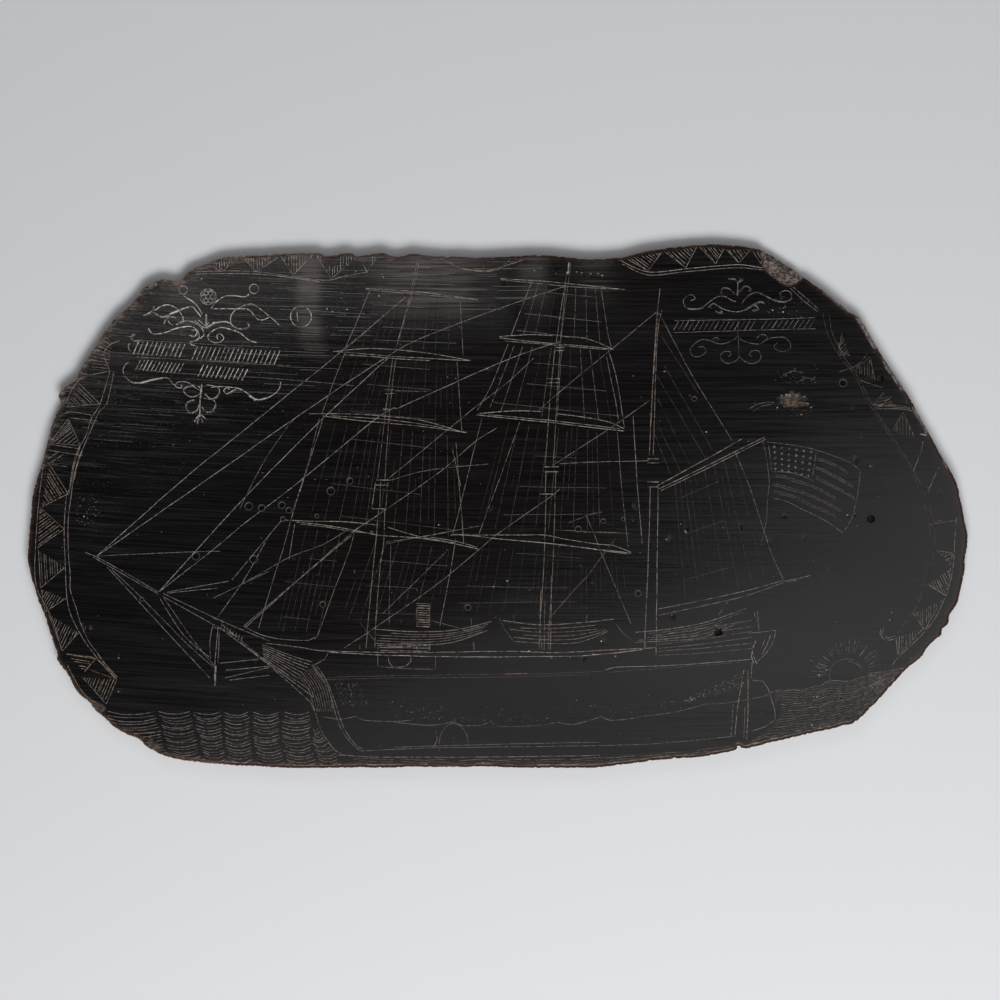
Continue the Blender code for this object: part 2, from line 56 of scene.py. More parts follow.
# The plate
THICKNESS = 0.0036
RISE = 0.0024  # how far the middle of the back stands above an oval rim
FLAT_LENGTH = 0.070
FLAT_HEIGHT = 0.040
OUTLINE = (
    (27, 556), (28, 543), (29, 529), (30, 520), (31, 508), (32, 496), (36, 480), (41, 466), (46, 446),
    (50, 427), (55, 415), (61, 405), (58, 396), (63, 388), (72, 381), (80, 369), (90, 353), (101, 336),
    (112, 321), (126, 308), (137, 296), (146, 285), (162, 279), (178, 281), (187, 272), (204, 264),
    (219, 258), (236, 256), (275, 254), (316, 253), (327, 256), (345, 253), (352, 253), (357, 256),
    (372, 254), (385, 253), (393, 256), (404, 256), (409, 254), (416, 254), (432, 256), (470, 257),
    (500, 257), (540, 255), (590, 259), (622, 257), (652, 250), (685, 246), (716, 244), (750, 247),
    (766, 251), (781, 261), (796, 271), (812, 283), (830, 295), (847, 310), (862, 320), (877, 347),
    (894, 373), (909, 396), (925, 425), (941, 454), (956, 480), (962, 504), (965, 520), (968, 533),
    (968, 544), (966, 557), (965, 573), (962, 588), (959, 601), (955, 608), (950, 616), (949, 624),
    (943, 629), (942, 635), (935, 640), (926, 650), (923, 656), (907, 669), (897, 680), (885, 693),
    (875, 704), (856, 722), (842, 726), (828, 730), (812, 733), (764, 745), (744, 749), (739, 746),
    (733, 751), (700, 757), (660, 760), (620, 765), (588, 768), (540, 768), (444, 767), (364, 768),
    (286, 768), (242, 766), (215, 764), (190, 762), (174, 759), (161, 755), (147, 748), (137, 739),
    (125, 734), (112, 726), (103, 717), (96, 712), (88, 703), (76, 691), (68, 676), (57, 661), (56, 652),
    (50, 634), (43, 613), (37, 599), (34, 586), (31, 579), (28, 565),
)
RIM_STEP = 1.8
RIM_NOISE = ((0.045, 1.2), (0.22, 1.0), (0.52, 1.3))  # pitch and depth of the breaks along the rim
RIM_SEED = 4.0

# Relief of the face, in metres
EDGE_WIDTH = 0.0008
EDGE_DROP = 0.00030
SWELL = 0.00014
SWELL_PITCH = 0.045
RIPPLE = 0.00010
RIPPLE_PITCH = 0.0145
RIPPLE_CENTRE = (430, 300)
RIPPLE_REACH = (130, 60)
HEM_REACH = 11  # grid steps from the rim over which the surface is bumpy
HEM_BUMP = 0.00013
HEM_LEAST = 0.25  # share of the bumps that is left at the lower right
HEM_SLANT = (800, 0.5, 200)  # where they fade: y at the left end, its rise to the right, and the width
HEM_FADE = 5.0  # grid steps in which the brown of the rim falls to about a third
EDGE_NOISE = (0.15, 0.15, 9.0)
HEM_NOISE = (0.32, 0.32, 12.0)

# Lost top layers: outline, depth, and how soft the step is (grid steps)
CHIP = (
    (764, 240), (762, 266), (768, 275), (776, 281), (784, 286), (794, 287), (802, 281), (807, 274),
    (800, 262),
)
SPLITS = (
    ((856, 309), (852, 312), (862, 330), (873, 349), (878, 350), (884, 350), (868, 318)),
    ((888, 358), (882, 357), (891, 372), (901, 390), (906, 394), (914, 398), (898, 372)),
    ((916, 404), (913, 408), (920, 420), (929, 438), (934, 437), (940, 448), (930, 428)),
    ((52, 396), (63, 402), (59, 414), (52, 428), (44, 430)),
    ((80, 700), (98, 702), (106, 709), (98, 716)),
    ((146, 736), (158, 743), (163, 751), (150, 756)),
)
CHIP_DEPTH = 0.0011
SPLIT_DEPTH = 0.00055
PIT_CENTRE = (793, 402)
PIT_REACH = (15, 8.5)
PIT_DEPTH = 0.0009
FIBRE_STEP = 1.35
TEAR_STEP = 2.2
TEAR = 0.9  # how far a torn border strays (grid steps)
TEAR_PITCH = 0.4
TEAR_SEED = 17.0
TEAR_NOISE = (0.20, 0.55, 21.0)
HOLLOW_NOISE = (0.45, 0.9, 33.0)
HOLLOW_BORDER_NOISE = (0.16, 0.25, 7.0)

# Insect bores: place and radius. The first three go right through.
BORES = ((718, 632, 3.7), (871, 519, 3.2), (880, 379, 3.2))
PITS = (
    (249, 506, 3.6), (262, 508, 3.2), (282, 505, 3.2), (289, 510, 2.6), (283, 519, 2.2), (331, 491, 3.6),
    (350, 481, 3.0), (196, 556, 3.6), (254, 559, 3.8), (323, 604, 2.8), (468, 607, 2.8), (578, 529, 2.8),
    (638, 593, 2.8), (843, 383, 3.6), (603, 521, 2.2), (623, 519, 1.6), (694, 399, 2.2), (142, 599, 1.8),
    (317, 516, 1.8), (841, 698, 1.5),
)
BORE_POINTS = 18
PIT_SLOPE = 0.8
PIT_BOTTOM = 0.0011

# Pens: width and depth for each half width, colour of the filling, and how much of it is left
PENS = {
    "stay": (0.00027, 0.7, (0.385, 0.365, 0.355), 0.86),
    "line": (0.00023, 0.7, (0.350, 0.310, 0.290), 0.84),
    "mast": (0.00025, 0.7, (0.370, 0.300, 0.265), 0.84),
    "spar": (0.00027, 0.7, (0.440, 0.362, 0.314), 0.86),
    "rust": (0.00025, 0.7, (0.270, 0.145, 0.105), 0.80),
    "gold": (0.00026, 0.7, (0.410, 0.285, 0.175), 0.84),
    "border": (0.00025, 0.7, (0.335, 0.285, 0.255), 0.82),
    "hatch": (0.00019, 0.7, (0.390, 0.325, 0.290), 0.82),
    "gilt": (0.00018, 0.7, (0.560, 0.415, 0.300), 0.84),
    "weave": (0.00020, 0.7, (0.320, 0.265, 0.235), 0.76),
    "scroll": (0.00030, 0.7, (0.620, 0.550, 0.512), 0.92),
    "flourish": (0.00030, 0.7, (0.820, 0.735, 0.690), 0.94),
    "curl": (0.00028, 0.7, (0.340, 0.300, 0.280), 0.84),
    "faded": (0.00027, 0.7, (0.200, 0.175, 0.165), 0.80),
    "mark": (0.00038, 0.7, (0.740, 0.640, 0.580), 0.92),
    "thin": (0.00022, 0.7, (0.250, 0.220, 0.205), 0.76),
    "seam": (0.00020, 0.7, (0.138, 0.121, 0.115), 0.63),
    "tan": (0.00019, 0.7, (0.300, 0.215, 0.165), 0.82),
    "wale": (0.00020, 0.7, (0.150, 0.106, 0.093), 0.72),
    "faint": (0.00020, 0.7, (0.160, 0.133, 0.120), 0.70),
    "swell": (0.00019, 0.7, (0.220, 0.178, 0.157), 0.70),
    "layer": (0.00030, 0.6, (0.310, 0.265, 0.245), 0.90),
    "ghost": (0.00018, 0.6, (0.085, 0.077, 0.073), 0.55),
    "sea": (0.00023, 0.7, (0.350, 0.290, 0.255), 0.78),
    "scratch": (0.00015, 0.6, (0.140, 0.134, 0.130), 0.55),
    "band": (0.00030, 0.7, (0.135, 0.112, 0.096), 0.74),
    "crest": (0.00020, 0.7, (0.560, 0.470, 0.420), 0.86),
    "star": (0.00037, 0.6, (0.235, 0.213, 0.200), 0.82),
    "dot": (0.00050, 0.6, (0.520, 0.500, 0.470), 0.90),
    "speck": (0.00028, 0.6, (0.260, 0.245, 0.235), 0.75),
}
STROKE_SEED = 23
TONE_SPREAD = 0.22
WOBBLE = 0.35
WOBBLE_PITCH = 0.045
TIP = 1.1
LONGEST = 9.0

# The ship's standing parts, each with the pen that it is cut with
MASTS = (
    ((417, 262), (411, 292), (396, 350)),
    ((419, 263), (413, 292), (398, 340)),
    ((393, 359), (386, 409), (378, 479)),
    ((396, 359), (390, 409), (385, 479)),
    ((376, 482), (372, 509)),
    ((381, 482), (380, 508)),
    ((388, 482), (386, 508)),
    ((379, 509), (373, 571), (368, 626), (366, 649)),
    ((385, 509), (384, 540), (380, 570), (376, 626), (375, 649)),
    ((571, 262), (568, 284), (560, 344)),
    ((567, 272), (564, 290), (556, 343)),
    ((555, 344), (550, 400), (545, 467)),
    ((560, 344), (557, 400), (553, 467)),
    ((546, 470), (545, 493)),
    ((556, 470), (555, 493)),
    ((546, 495), (544, 560), (540, 626), (539, 649)),
    ((555, 495), (553, 560), (549, 626), (548, 649)),
    ((660, 288), (655, 340), (649, 456)),
    ((662, 310), (657, 340), (653, 456)),
    ((658, 312), (653, 380), (650, 430)),
    ((650, 487), (648, 560), (645, 632), (645, 648)),
    ((541, 590), (540, 626), (542, 650)), ((545, 600), (544, 650)), ((551, 575), (551, 626), (550, 650)),
    ((658, 487), (657, 560), (656, 636), (656, 655)),
)
CAPS = (
    (385, 395, 390, 394), (383, 392, 409, 410), (376, 390, 480, 485), (372, 387, 509, 509),
    (555, 565, 348, 351), (547, 560, 379, 383), (544, 559, 467, 472), (539, 556, 494, 494),
    (647, 659, 459, 463), (647, 659, 482, 487),
)
YARDS = (
    ((365, 289), (414, 292), (478, 300)),
    ((366, 290), (420, 295), (478, 300)),
    ((333, 352), (366, 349), (395, 350), (438, 355), (471, 361)),
    ((336, 352), (351, 353), (374, 355), (395, 357), (430, 359), (470, 361)),
    ((345, 355), (374, 357), (395, 359), (430, 361)),
    ((309, 414), (350, 414), (391, 417), (424, 421), (458, 431), (467, 433)),
    ((322, 416), (362, 421), (424, 427), (467, 433)),
    ((330, 416), (389, 420), (444, 428)),
    ((281, 520), (308, 521), (349, 522), (378, 525)),
    ((387, 527), (403, 532), (427, 538), (456, 543)),
    ((296, 522), (324, 525), (359, 531), (378, 535), (419, 538), (456, 544), (479, 549)),
    ((300, 524), (327, 527), (349, 531), (375, 534)),
    ((430, 537), (456, 541), (477, 547)),
    ((500, 279), (560, 283), (625, 290)),
    ((500, 280), (560, 286), (625, 290)),
    ((499, 337), (530, 335), (553, 336)),
    ((560, 337), (586, 339), (614, 350)),
    ((499, 338), (542, 343), (590, 347), (614, 350)),
    ((504, 341), (560, 346), (608, 350)),
    ((477, 414), (512, 411), (542, 412)),
    ((557, 414), (594, 419), (614, 424), (624, 429)),
    ((476, 415), (502, 418), (553, 423), (594, 428), (624, 431)),
    ((488, 415), (553, 421), (620, 429)),
    ((450, 535), (524, 535), (545, 535), (564, 539), (599, 544), (612, 545), (631, 552)),
    ((453, 534), (477, 536), (500, 539), (545, 543), (596, 549), (631, 553)),
    ((510, 540), (554, 544), (599, 550), (628, 554)),
    ((657, 486), (742, 439)),
    ((659, 489), (700, 469), (765, 437)),
    ((660, 491), (702, 471), (766, 439)),
)
RUST_SPARS = (
    ((554, 530), (630, 533)), ((583, 532), (626, 533)), ((504, 674), (528, 673)), ((97, 654), (107, 668)),
    ((97, 654), (116, 679)), ((90, 670), (116, 679)), ((929, 525), (964, 519)),
    ((929, 525), (936, 522), (943, 520)),
)
BOOMS = (
    ((657, 609), (740, 592), (784, 580)), ((658, 615), (740, 597), (784, 582)),
    ((784, 581), (800, 578), (811, 575)), ((786, 582), (798, 580)),
)
STAYS = (
    ((97, 556), (183, 480), (240, 434), (345, 349), (406, 297)),
    ((97, 556), (207, 480), (280, 429), (346, 384), (392, 354)),
    ((159, 592), (240, 503), (322, 420), (391, 356)),
    ((240, 527), (303, 479), (381, 415), (397, 409)),
    ((354, 531), (387, 509)),
)
FINE_STAYS = (
    ((392, 354), (418, 340), (490, 312), (566, 286)),
    ((397, 409), (486, 369), (526, 353), (560, 342)),
    ((159, 592), (214, 549), (240, 527)),
    ((387, 480), (420, 453), (477, 406), (506, 384), (534, 358)),
    ((387, 509), (413, 491), (444, 469), (475, 442), (497, 428)),
    ((344, 648), (377, 626), (436, 585), (481, 548), (499, 533), (546, 500), (560, 489)),
    ((244, 626), (300, 578), (354, 531)),
    ((246, 627), (302, 577), (352, 535)),
    ((97, 556), (189, 552), (221, 551)),
    ((657, 312), (612, 349), (567, 386), (538, 411)),
    ((649, 401), (600, 435), (555, 464)),
    ((559, 464), (600, 462), (649, 461)),
    ((107, 567), (158, 622), (210, 678)),
    ((111, 569), (143, 599), (190, 646), (214, 667)),
    ((160, 598), (184, 635), (210, 657)),
    ((163, 596), (192, 638), (214, 665)),
    ((167, 592), (229, 581)),
    ((167, 593), (218, 588)),
    ((232, 580), (257, 550), (283, 519)),
    ((218, 617), (246, 577), (270, 534)),
    ((586, 516), (596, 539), (602, 555), (631, 624)),
)
THIN_LINES = (
    ((240, 509), (262, 466), (290, 424), (301, 415)),
    ((387, 481), (430, 470), (489, 464)),
    ((240, 584), (260, 574), (290, 557), (324, 544), (349, 529)),
    ((383, 613), (448, 550)),
    ((552, 615), (572, 592), (589, 574), (602, 556), (616, 538)),
    ((568, 523), (586, 516), (594, 513), (602, 512)),
    ((262, 378), (300, 381), (355, 386)),
    ((345, 350), (357, 340), (406, 297)),
    ((386, 544), (404, 540), (427, 536), (448, 532)),
    ((213, 598), (270, 571)),
    ((728, 601), (718, 615)),
    # These two curved strokes left of the worn hollow are real scratches whose pale filling also paints a
    # glint along them
    ((749, 409), (758, 404), (768, 402), (775, 403)),
    ((752, 412), (762, 406), (772, 404)),
    ((782, 376), (792, 371), (803, 373)), ((796, 383), (806, 378), (815, 380)),
    ((395, 391), (428, 392)),
    ((386, 542), (424, 536), (480, 526)),
    ((430, 620), (470, 631)),
    ((391, 544), (389, 625)),
)
BOWSPRIT = (
    ((85, 552), (97, 557), (159, 592)),
    ((93, 557), (128, 577), (159, 594)),
    ((163, 593), (218, 619), (270, 641)),
    ((163, 596), (213, 624), (240, 637)),
    ((213, 625), (210, 641), (211, 659)),
    ((218, 628), (215, 666), (215, 683)),
    ((219, 630), (219, 646), (218, 663)),
    ((219, 663), (259, 659)),
    ((226, 670), (269, 666)),
    ((224, 678), (270, 667)),
    ((229, 680), (270, 675)),
    ((213, 618), (223, 621), (221, 629), (213, 627)),
    ((222, 624), (262, 657), (311, 690)),
    ((222, 629), (268, 664), (311, 702)),
    ((240, 642), (275, 668), (314, 697)),
    ((222, 624), (221, 630)), ((225, 625), (224, 632)), ((228, 627), (227, 634)), ((231, 628), (229, 635)),
    ((234, 630), (232, 636)), ((237, 632), (235, 638)), ((240, 634), (238, 640)), ((243, 636), (241, 641)),
)

# Sails: their side edges, and the corners that their seams run between (head left, head right, foot right,
# foot left) with the number of seams and their pen
LEECHES = (
    ((370, 291), (345, 350)), ((460, 297), (463, 356)),
    ((345, 353), (322, 414)), ((457, 362), (462, 431)),
    ((320, 418), (305, 475), (292, 514)), ((323, 420), (300, 492), (290, 524)),
    ((456, 442), (459, 483), (464, 544)), ((452, 448), (461, 487)),
    ((291, 520), (283, 550), (273, 581), (259, 628)), ((295, 524), (289, 560)),
    ((354, 532), (351, 546), (328, 607), (318, 635), (314, 640)),
    ((244, 626), (260, 634), (283, 639), (309, 640), (316, 637)),
    ((532, 281), (511, 336)), ((601, 289), (608, 335), (611, 348)),
    ((508, 344), (492, 384), (477, 411)), ((514, 346), (490, 408)),
    ((608, 350), (617, 381), (624, 428)), ((606, 356), (615, 400), (618, 420)),
    ((482, 418), (461, 503), (453, 534)), ((520, 422), (498, 483), (479, 534)),
    ((617, 431), (621, 480), (625, 520), (628, 548)), ((633, 416), (637, 483), (642, 544)),
    ((456, 538), (452, 563), (440, 626)),
    ((659, 313), (691, 374), (732, 441)),
    ((735, 452), (750, 489), (762, 526), (772, 555), (784, 581)),
)
REEFS = 3  # level lines across each sail
SAILS = (
    ((368, 292), (460, 299), (461, 354), (348, 350), 9, "seam"),
    ((348, 355), (456, 363), (459, 429), (324, 415), 11, "ghost"),
    ((326, 419), (458, 434), (462, 542), (296, 521), 12, "seam"),
    ((296, 526), (352, 532), (328, 638), (272, 632), 5, "seam"),
    ((366, 536), (455, 546), (440, 624), (334, 622), 8, "seam"),
    ((529, 282), (604, 289), (612, 346), (510, 334), 8, "thin"),
    ((514, 344), (608, 350), (626, 428), (486, 412), 10, "thin"),
    ((500, 420), (616, 431), (626, 530), (468, 534), 12, "seam"),
    ((468, 540), (628, 555), (634, 612), (450, 618), 14, "ghost"),
    ((665, 487), (742, 450), (778, 580), (672, 604), 8, "seam"),
)
GAFF_SEAMS = (
    ((664, 366), (712, 450)), ((657, 377), (705, 458)), ((657, 398), (690, 466)), ((655, 420), (681, 473)),
    ((654, 433), (671, 476)), ((661, 336), (698, 394)),
)

# The hull
SHEER = (
    ((266, 643), (301, 647), (330, 651), (424, 652), (500, 651), (560, 652), (643, 648), (656, 647)),
    ((330, 652), (390, 655), (470, 656.5), (560, 656), (602, 654), (643, 649)),
)
HULL = (
    ((312, 664), (322, 678), (330, 693), (340, 726), (352, 744), (362, 752)),
    ((316, 664), (326, 679), (334, 698), (344, 728), (356, 745), (364, 750)),
    ((310, 700), (316, 714), (322, 732), (336, 751), (348, 756)),
    ((311, 666), (318, 663), (325, 659), (329, 652)),
    ((338, 755), (383, 757), (450, 757), (560, 756), (600, 755)),
    ((604, 670), (614, 667), (674, 665), (751, 659)),
    ((733, 704), (731, 736)), ((745, 706), (744, 738)),
    ((776, 630), (772, 644), (764, 655), (757, 661)), ((747, 633), (760, 632), (776, 630)),
    ((771, 634), (766, 646), (760, 657)), ((766, 636), (761, 648)),
    ((754, 612), (758, 626)), ((757, 611), (759, 630)),
    ((752, 680), (763, 681), (768, 688), (775, 712), (775, 720), (764, 727), (750, 731)),
    ((762, 712), (762, 713)),
)
STERN = (
    ((744, 669), (738, 704), (735, 735)), ((748, 669), (748, 704), (747, 740)), ((752, 662), (751, 678)),
    ((756, 640), (752, 652), (757, 664)), ((753, 645), (751, 656), (754, 663)),
)
DECK_LINES = (
    ((658, 635), (700, 628), (752, 620)), ((658, 640), (700, 634), (752, 626)),
    ((658, 644), (700, 639), (752, 631)), ((658, 648), (700, 644), (752, 637)),
    ((658, 651), (700, 648), (752, 643)), ((658, 655), (700, 653), (752, 648)),
)
WATERLINE = (
    ((322, 716), (340, 719), (356, 716)), ((356, 716), (364, 720), (395, 721), (412, 720)),
    ((395, 722), (430, 725), (454, 721)), ((454, 721), (462, 725), (480, 725), (491, 721)),
    ((491, 721), (500, 726), (540, 725), (557, 722)), ((557, 722), (575, 724), (602, 716)),
    ((602, 716), (610, 720), (632, 718), (643, 716)), ((643, 716), (674, 712), (704, 704)),
    ((704, 704), (725, 703), (749, 699)), ((749, 699), (764, 696), (774, 691)), ((774, 691), (782, 689)),
    ((360, 751), (424, 748), (560, 746), (643, 744), (684, 741), (735, 736)),
    ((395, 747), (500, 744), (600, 742)),
)
WALES = (
    ((326, 677), (360, 676), (424, 675), (500, 674), (560, 673), (604, 671)),
    ((326, 679), (400, 677.5), (480, 677), (560, 675.5), (590, 674)), ((608, 672), (674, 667), (740, 662)),
)
# Fans of lines round the bow: where the first and the last line run, and how many there are
FANS = (
    (((262, 644), (290, 655), (313, 662)), ((263, 657), (282, 670), (296, 681)), 8, "border"),
    (((314, 665), (328, 686), (333, 711)), ((298, 675), (309, 690), (315, 712)), 9, "weave"),
)
# Arcs on the hull, and the level lines of water under it: along the keel, with so many rows
HULL_ARCS = (((439, 752), (440, 737), (446, 727), (453, 723), (461, 726), (467, 735), (468, 742)),
             ((436, 730), (437, 740), (432, 748)))
KEEL = ((345, 758.5), (450, 760), (560, 759.5), (640, 756), (700, 750), (736, 745))
KEEL_ROWS = 3
KEEL_PITCH = 2.5
WINDLASS = (
    ((378, 654), (378, 666)), ((379, 666), (400, 668), (435, 669)), ((436, 655), (435, 669)),
    ((395, 643), (429, 644)), ((397, 650), (429, 651)), ((360, 644), (360, 650)), ((473, 641), (474, 650)),
    ((429, 640), (429, 650)), ((390, 617), (389, 625)), ((471, 617), (472, 632)), ((513, 614), (513, 622)),
    ((514, 614), (514, 622)), ((587, 614), (586, 622)), ((474, 642), (474, 650)),
)
WINCH = (
    ((388, 655), (389, 662), (392, 666), (399, 667), (407, 665), (411, 661), (411, 655)),
    ((378, 650), (378, 644)), ((379, 647), (430, 648)), ((430, 643), (430, 651)), ((417, 643), (417, 650)),
    ((378, 645), (400, 646), (428, 645)), ((380, 650), (428, 651)),
)
BOATS = (
    (((360, 622), (366, 630), (375, 640)), ((376, 629), (424, 632), (464, 629), (492, 621)),
     ((375, 643), (424, 645), (473, 640), (488, 630)), 5),
    (((499, 617), (504, 628), (513, 640)), ((502, 620), (522, 625), (563, 624), (614, 619)),
     ((513, 641), (560, 644), (600, 640), (608, 631)), 5),
    (((616, 624), (623, 633), (633, 641)), ((635, 632), (663, 630), (704, 623), (746, 608)),
     ((634, 642), (664, 641), (700, 638), (735, 624)), 5),
)
CHIMNEY = (416, 430, 603, 626, 11)
STIPPLES = (
    (((332, 681), (360, 682), (368, 706), (344, 708)), 190, "ghost", 0.12),
    (((364, 692), (470, 709), (470, 720), (362, 718)), 110, "ghost", 0.12),
    (((742, 671), (745, 686), (682, 703), (684, 699)), 130, "thin", 0.35),
    (((480, 710), (690, 700), (690, 708), (480, 722)), 90, "ghost", 0.2),
    (((405, 716), (560, 716), (560, 722), (405, 720)), 50, "rust", 0.1),
    (((74, 497), (96, 497), (96, 526), (74, 526)), 34, "thin", 0.5),
    (((81, 623), (92, 623), (92, 629), (81, 629)), 14, "rust", 0.3),
    (((772, 368), (818, 364), (818, 384), (774, 384)), 34, "seam", 0.25),
    (((768, 405), (815, 402), (808, 420), (776, 418)), 26, "seam", 0.25),
    (((760, 290), (800, 288), (806, 318), (764, 318)), 44, "seam", 0.3),
    (((320, 300), (372, 290), (360, 345), (330, 345)), 40, "seam", 0.3),
)
SHIELD_SPOT = (453, 737, 1.2)

# The striped flag
HOIST = ((762, 441), (765, 451), (768, 471), (769, 482), (767, 500), (766, 521), (761, 543))
FLAG_TOP = ((766, 442), (783, 444), (808, 448), (833, 456), (850, 463), (860, 471))
FLAG_FLY = ((860, 471), (859, 483), (857, 496), (853, 514), (850, 521), (843, 533))
FLAG_FOOT = ((772, 498), (782, 500), (792, 504), (803, 510), (816, 516), (829, 523), (843, 533))
CANTON = (
    ((771, 472), (783, 472), (796, 474), (806, 478), (813, 481)), ((816, 452), (814, 466), (812, 477)),
    ((768, 445), (770, 458), (771, 471)),
)
FLAG_BANDS = (
    ((774, 476), (783, 477), (796, 481), (808, 485), (822, 491), (836, 499)),
    ((772, 484), (783, 487), (793, 490), (808, 495), (824, 502), (842, 512)),
    ((772, 491), (782, 494), (793, 497), (802, 501), (812, 506), (833, 515), (842, 524)),
    ((816, 459), (824, 461), (834, 465), (848, 473)),
    ((815, 468), (824, 471), (833, 476), (843, 481), (855, 488)),
    ((815, 477), (824, 482), (834, 487), (846, 493), (855, 499)),
)
STAR_ROWS = 5
STAR_COLUMNS = 6
BAND_OFFSETS = (-1.05, 0.95)
STAR_AREA = ((774, 447), (811, 452), (808, 476), (775, 469))

# Scrolls round the rows of marks: the left ones, the upper right and the lower right ones
TOP_SCROLLS = (
    ((183, 296), (194, 303), (200, 310), (202, 315)), ((169, 314), (183, 309), (192, 307), (197, 312),
     (201, 317)), ((211, 309), (217, 301), (226, 296), (236, 296), (245, 297), (249, 294)),
    ((212, 309), (231, 309), (245, 309), (251, 312), (257, 319), (263, 320), (270, 317)),
    ((246, 305), (236, 310), (231, 317), (232, 325), (239, 329), (247, 328), (249, 325), (247, 323)),
    ((247, 305), (254, 305), (270, 317), (280, 326)), ((154, 311), (162, 306), (169, 305), (177, 309),
     (183, 317), (183, 321)), ((163, 325), (167, 318), (173, 317), (176, 318)),
    ((168, 321), (170, 324), (173, 325)), ((143, 316), (152, 311), (154, 306)),
    ((153, 312), (161, 317), (167, 316), (183, 309)), ((195, 321), (205, 328), (215, 322)),
    ((206, 314), (206, 328)), ((198, 320), (205, 326)), ((209, 322), (206, 326)),
    ((148, 328), (152, 334), (161, 334), (171, 331), (183, 327), (192, 327), (198, 332), (199, 338),
     (195, 341), (190, 342), (191, 345), (196, 346)), ((176, 325), (185, 321), (195, 323), (202, 329),
     (204, 335), (200, 339)), ((189, 335), (194, 337), (197, 333), (195, 330), (191, 331)),
    ((257, 343), (249, 340), (241, 334), (231, 330), (221, 328), (213, 331), (208, 336), (209, 340),
     (215, 343), (221, 342), (224, 338), (220, 334), (217, 336), (218, 340)),
    ((209, 326), (215, 323), (226, 322), (232, 325)),
)
SCROLLS = (
    ((129, 362), (125, 365), (123, 371), (126, 378), (133, 383), (140, 383), (151, 380), (163, 378),
     (169, 379), (174, 385), (179, 382), (188, 383), (195, 388), (200, 391)),
    ((174, 385), (178, 388), (182, 387), (181, 384)), ((211, 388), (219, 387), (235, 388), (242, 390),
     (251, 396), (258, 400), (266, 399), (275, 394), (280, 388), (281, 382)),
    ((236, 389), (231, 392), (227, 394), (224, 391), (227, 388), (230, 390)),
    ((195, 385), (185, 388), (184, 392), (190, 397), (197, 396), (202, 391), (198, 386)),
    ((206, 385), (217, 387), (220, 391), (217, 397), (211, 399), (205, 394)),
    ((195, 400), (188, 402), (186, 407), (190, 413), (197, 411), (199, 405)),
    ((204, 399), (213, 400), (216, 404), (213, 411), (206, 412), (202, 407)),
    ((202, 384), (200, 401), (200, 416)), ((194, 422), (200, 415), (207, 420)),
    ((197, 424), (200, 416), (203, 423)), ((130, 343), (128, 347), (131, 352)),
    ((135, 334), (131, 337), (134, 341), (143, 340)),
)
CURLS = (
    ((737, 296), (737, 281), (728, 279)), ((737, 283), (743, 279)), ((721, 294), (722, 289), (727, 288),
     (732, 291), (735, 295)), ((739, 292), (745, 286), (751, 289), (748, 291)),
    ((736, 302), (732, 301), (725, 297), (718, 297), (711, 301), (703, 307), (696, 309), (686, 308),
     (683, 302), (686, 297), (692, 295), (695, 299), (690, 301)), ((741, 305), (746, 298), (754, 293),
     (761, 294), (769, 298), (776, 301), (785, 302), (791, 299), (791, 293), (785, 291), (780, 294),
     (783, 298)), ((708, 308), (713, 304), (717, 306), (725, 310), (736, 312), (745, 310), (753, 305),
     (760, 302), (764, 303)), ((715, 311), (719, 313), (722, 312), (719, 308)),
    ((752, 311), (758, 309), (757, 306), (754, 306)),
)
FADED_CURLS = (
    ((738, 335), (735, 339), (727, 343), (719, 344), (710, 341), (702, 340), (695, 344), (690, 350),
     (692, 356), (699, 357), (706, 352), (703, 347), (698, 348)), ((738, 335), (741, 340), (749, 343),
     (760, 344), (766, 340), (774, 338), (784, 338), (790, 343), (790, 349), (783, 352), (776, 350),
     (774, 346), (778, 343)), ((712, 340), (715, 338), (719, 339), (717, 341)),
    ((756, 339), (761, 335), (767, 337), (766, 341)), ((738, 319), (738, 335), (739, 357)),
    ((739, 356), (736, 361), (728, 364), (722, 361), (720, 356), (724, 352), (730, 352), (731, 355),
     (728, 357)), ((739, 357), (745, 362), (752, 364), (759, 361), (761, 356), (758, 351), (752, 351),
     (749, 355), (752, 357)),
)
BOLD_STROKES = (
    ((569, 262), (568, 275)), ((216, 665), (215, 686)), ((920, 434), (930, 437), (936, 441)),
    ((134, 383), (143, 383), (153, 380), (163, 378)), ((249, 396), (258, 400), (267, 398)),
    ((170, 331), (178, 328), (186, 327)), ((234, 330), (243, 335)),
)
CIRCLES = ((183, 290, 4.2), (254, 289, 4.8), (208, 297, 8.0))
ROSETTE = (208, 297, 4.3, 6, 2.3)  # middle, how far out its rings lie, how many there are and their radius
BROKEN_RING = (301, 317, 10.5)
MARK_RULES = (
    ((135, 340), (200, 344), (280, 348)), ((136, 357), (200, 361), (290, 366)),
    ((136, 369), (177, 373), (243, 378)), ((674, 321), (740, 320), (816, 318)),
    ((673, 333), (740, 331), (816, 329)),
)
# Rows of plain parallel slanting marks: start, end, height, number of marks, pens of every second one
MARK_ROWS = (
    ((136, 348), (182, 351), 14, 11, "mark", "scroll"), ((195, 353), (277, 358), 14, 19, "mark", "scroll"),
    ((138, 365), (181, 369), 11, 12, "scroll", "scroll"), ((201, 371), (245, 375), 12, 11, "mark", "scroll"),
    ((676, 326), (752, 326), 10, 16, "curl", "faded"), ((764, 325), (812, 324), 9, 10, "curl", "faded"),
)
MARK_LEAN = 3.0

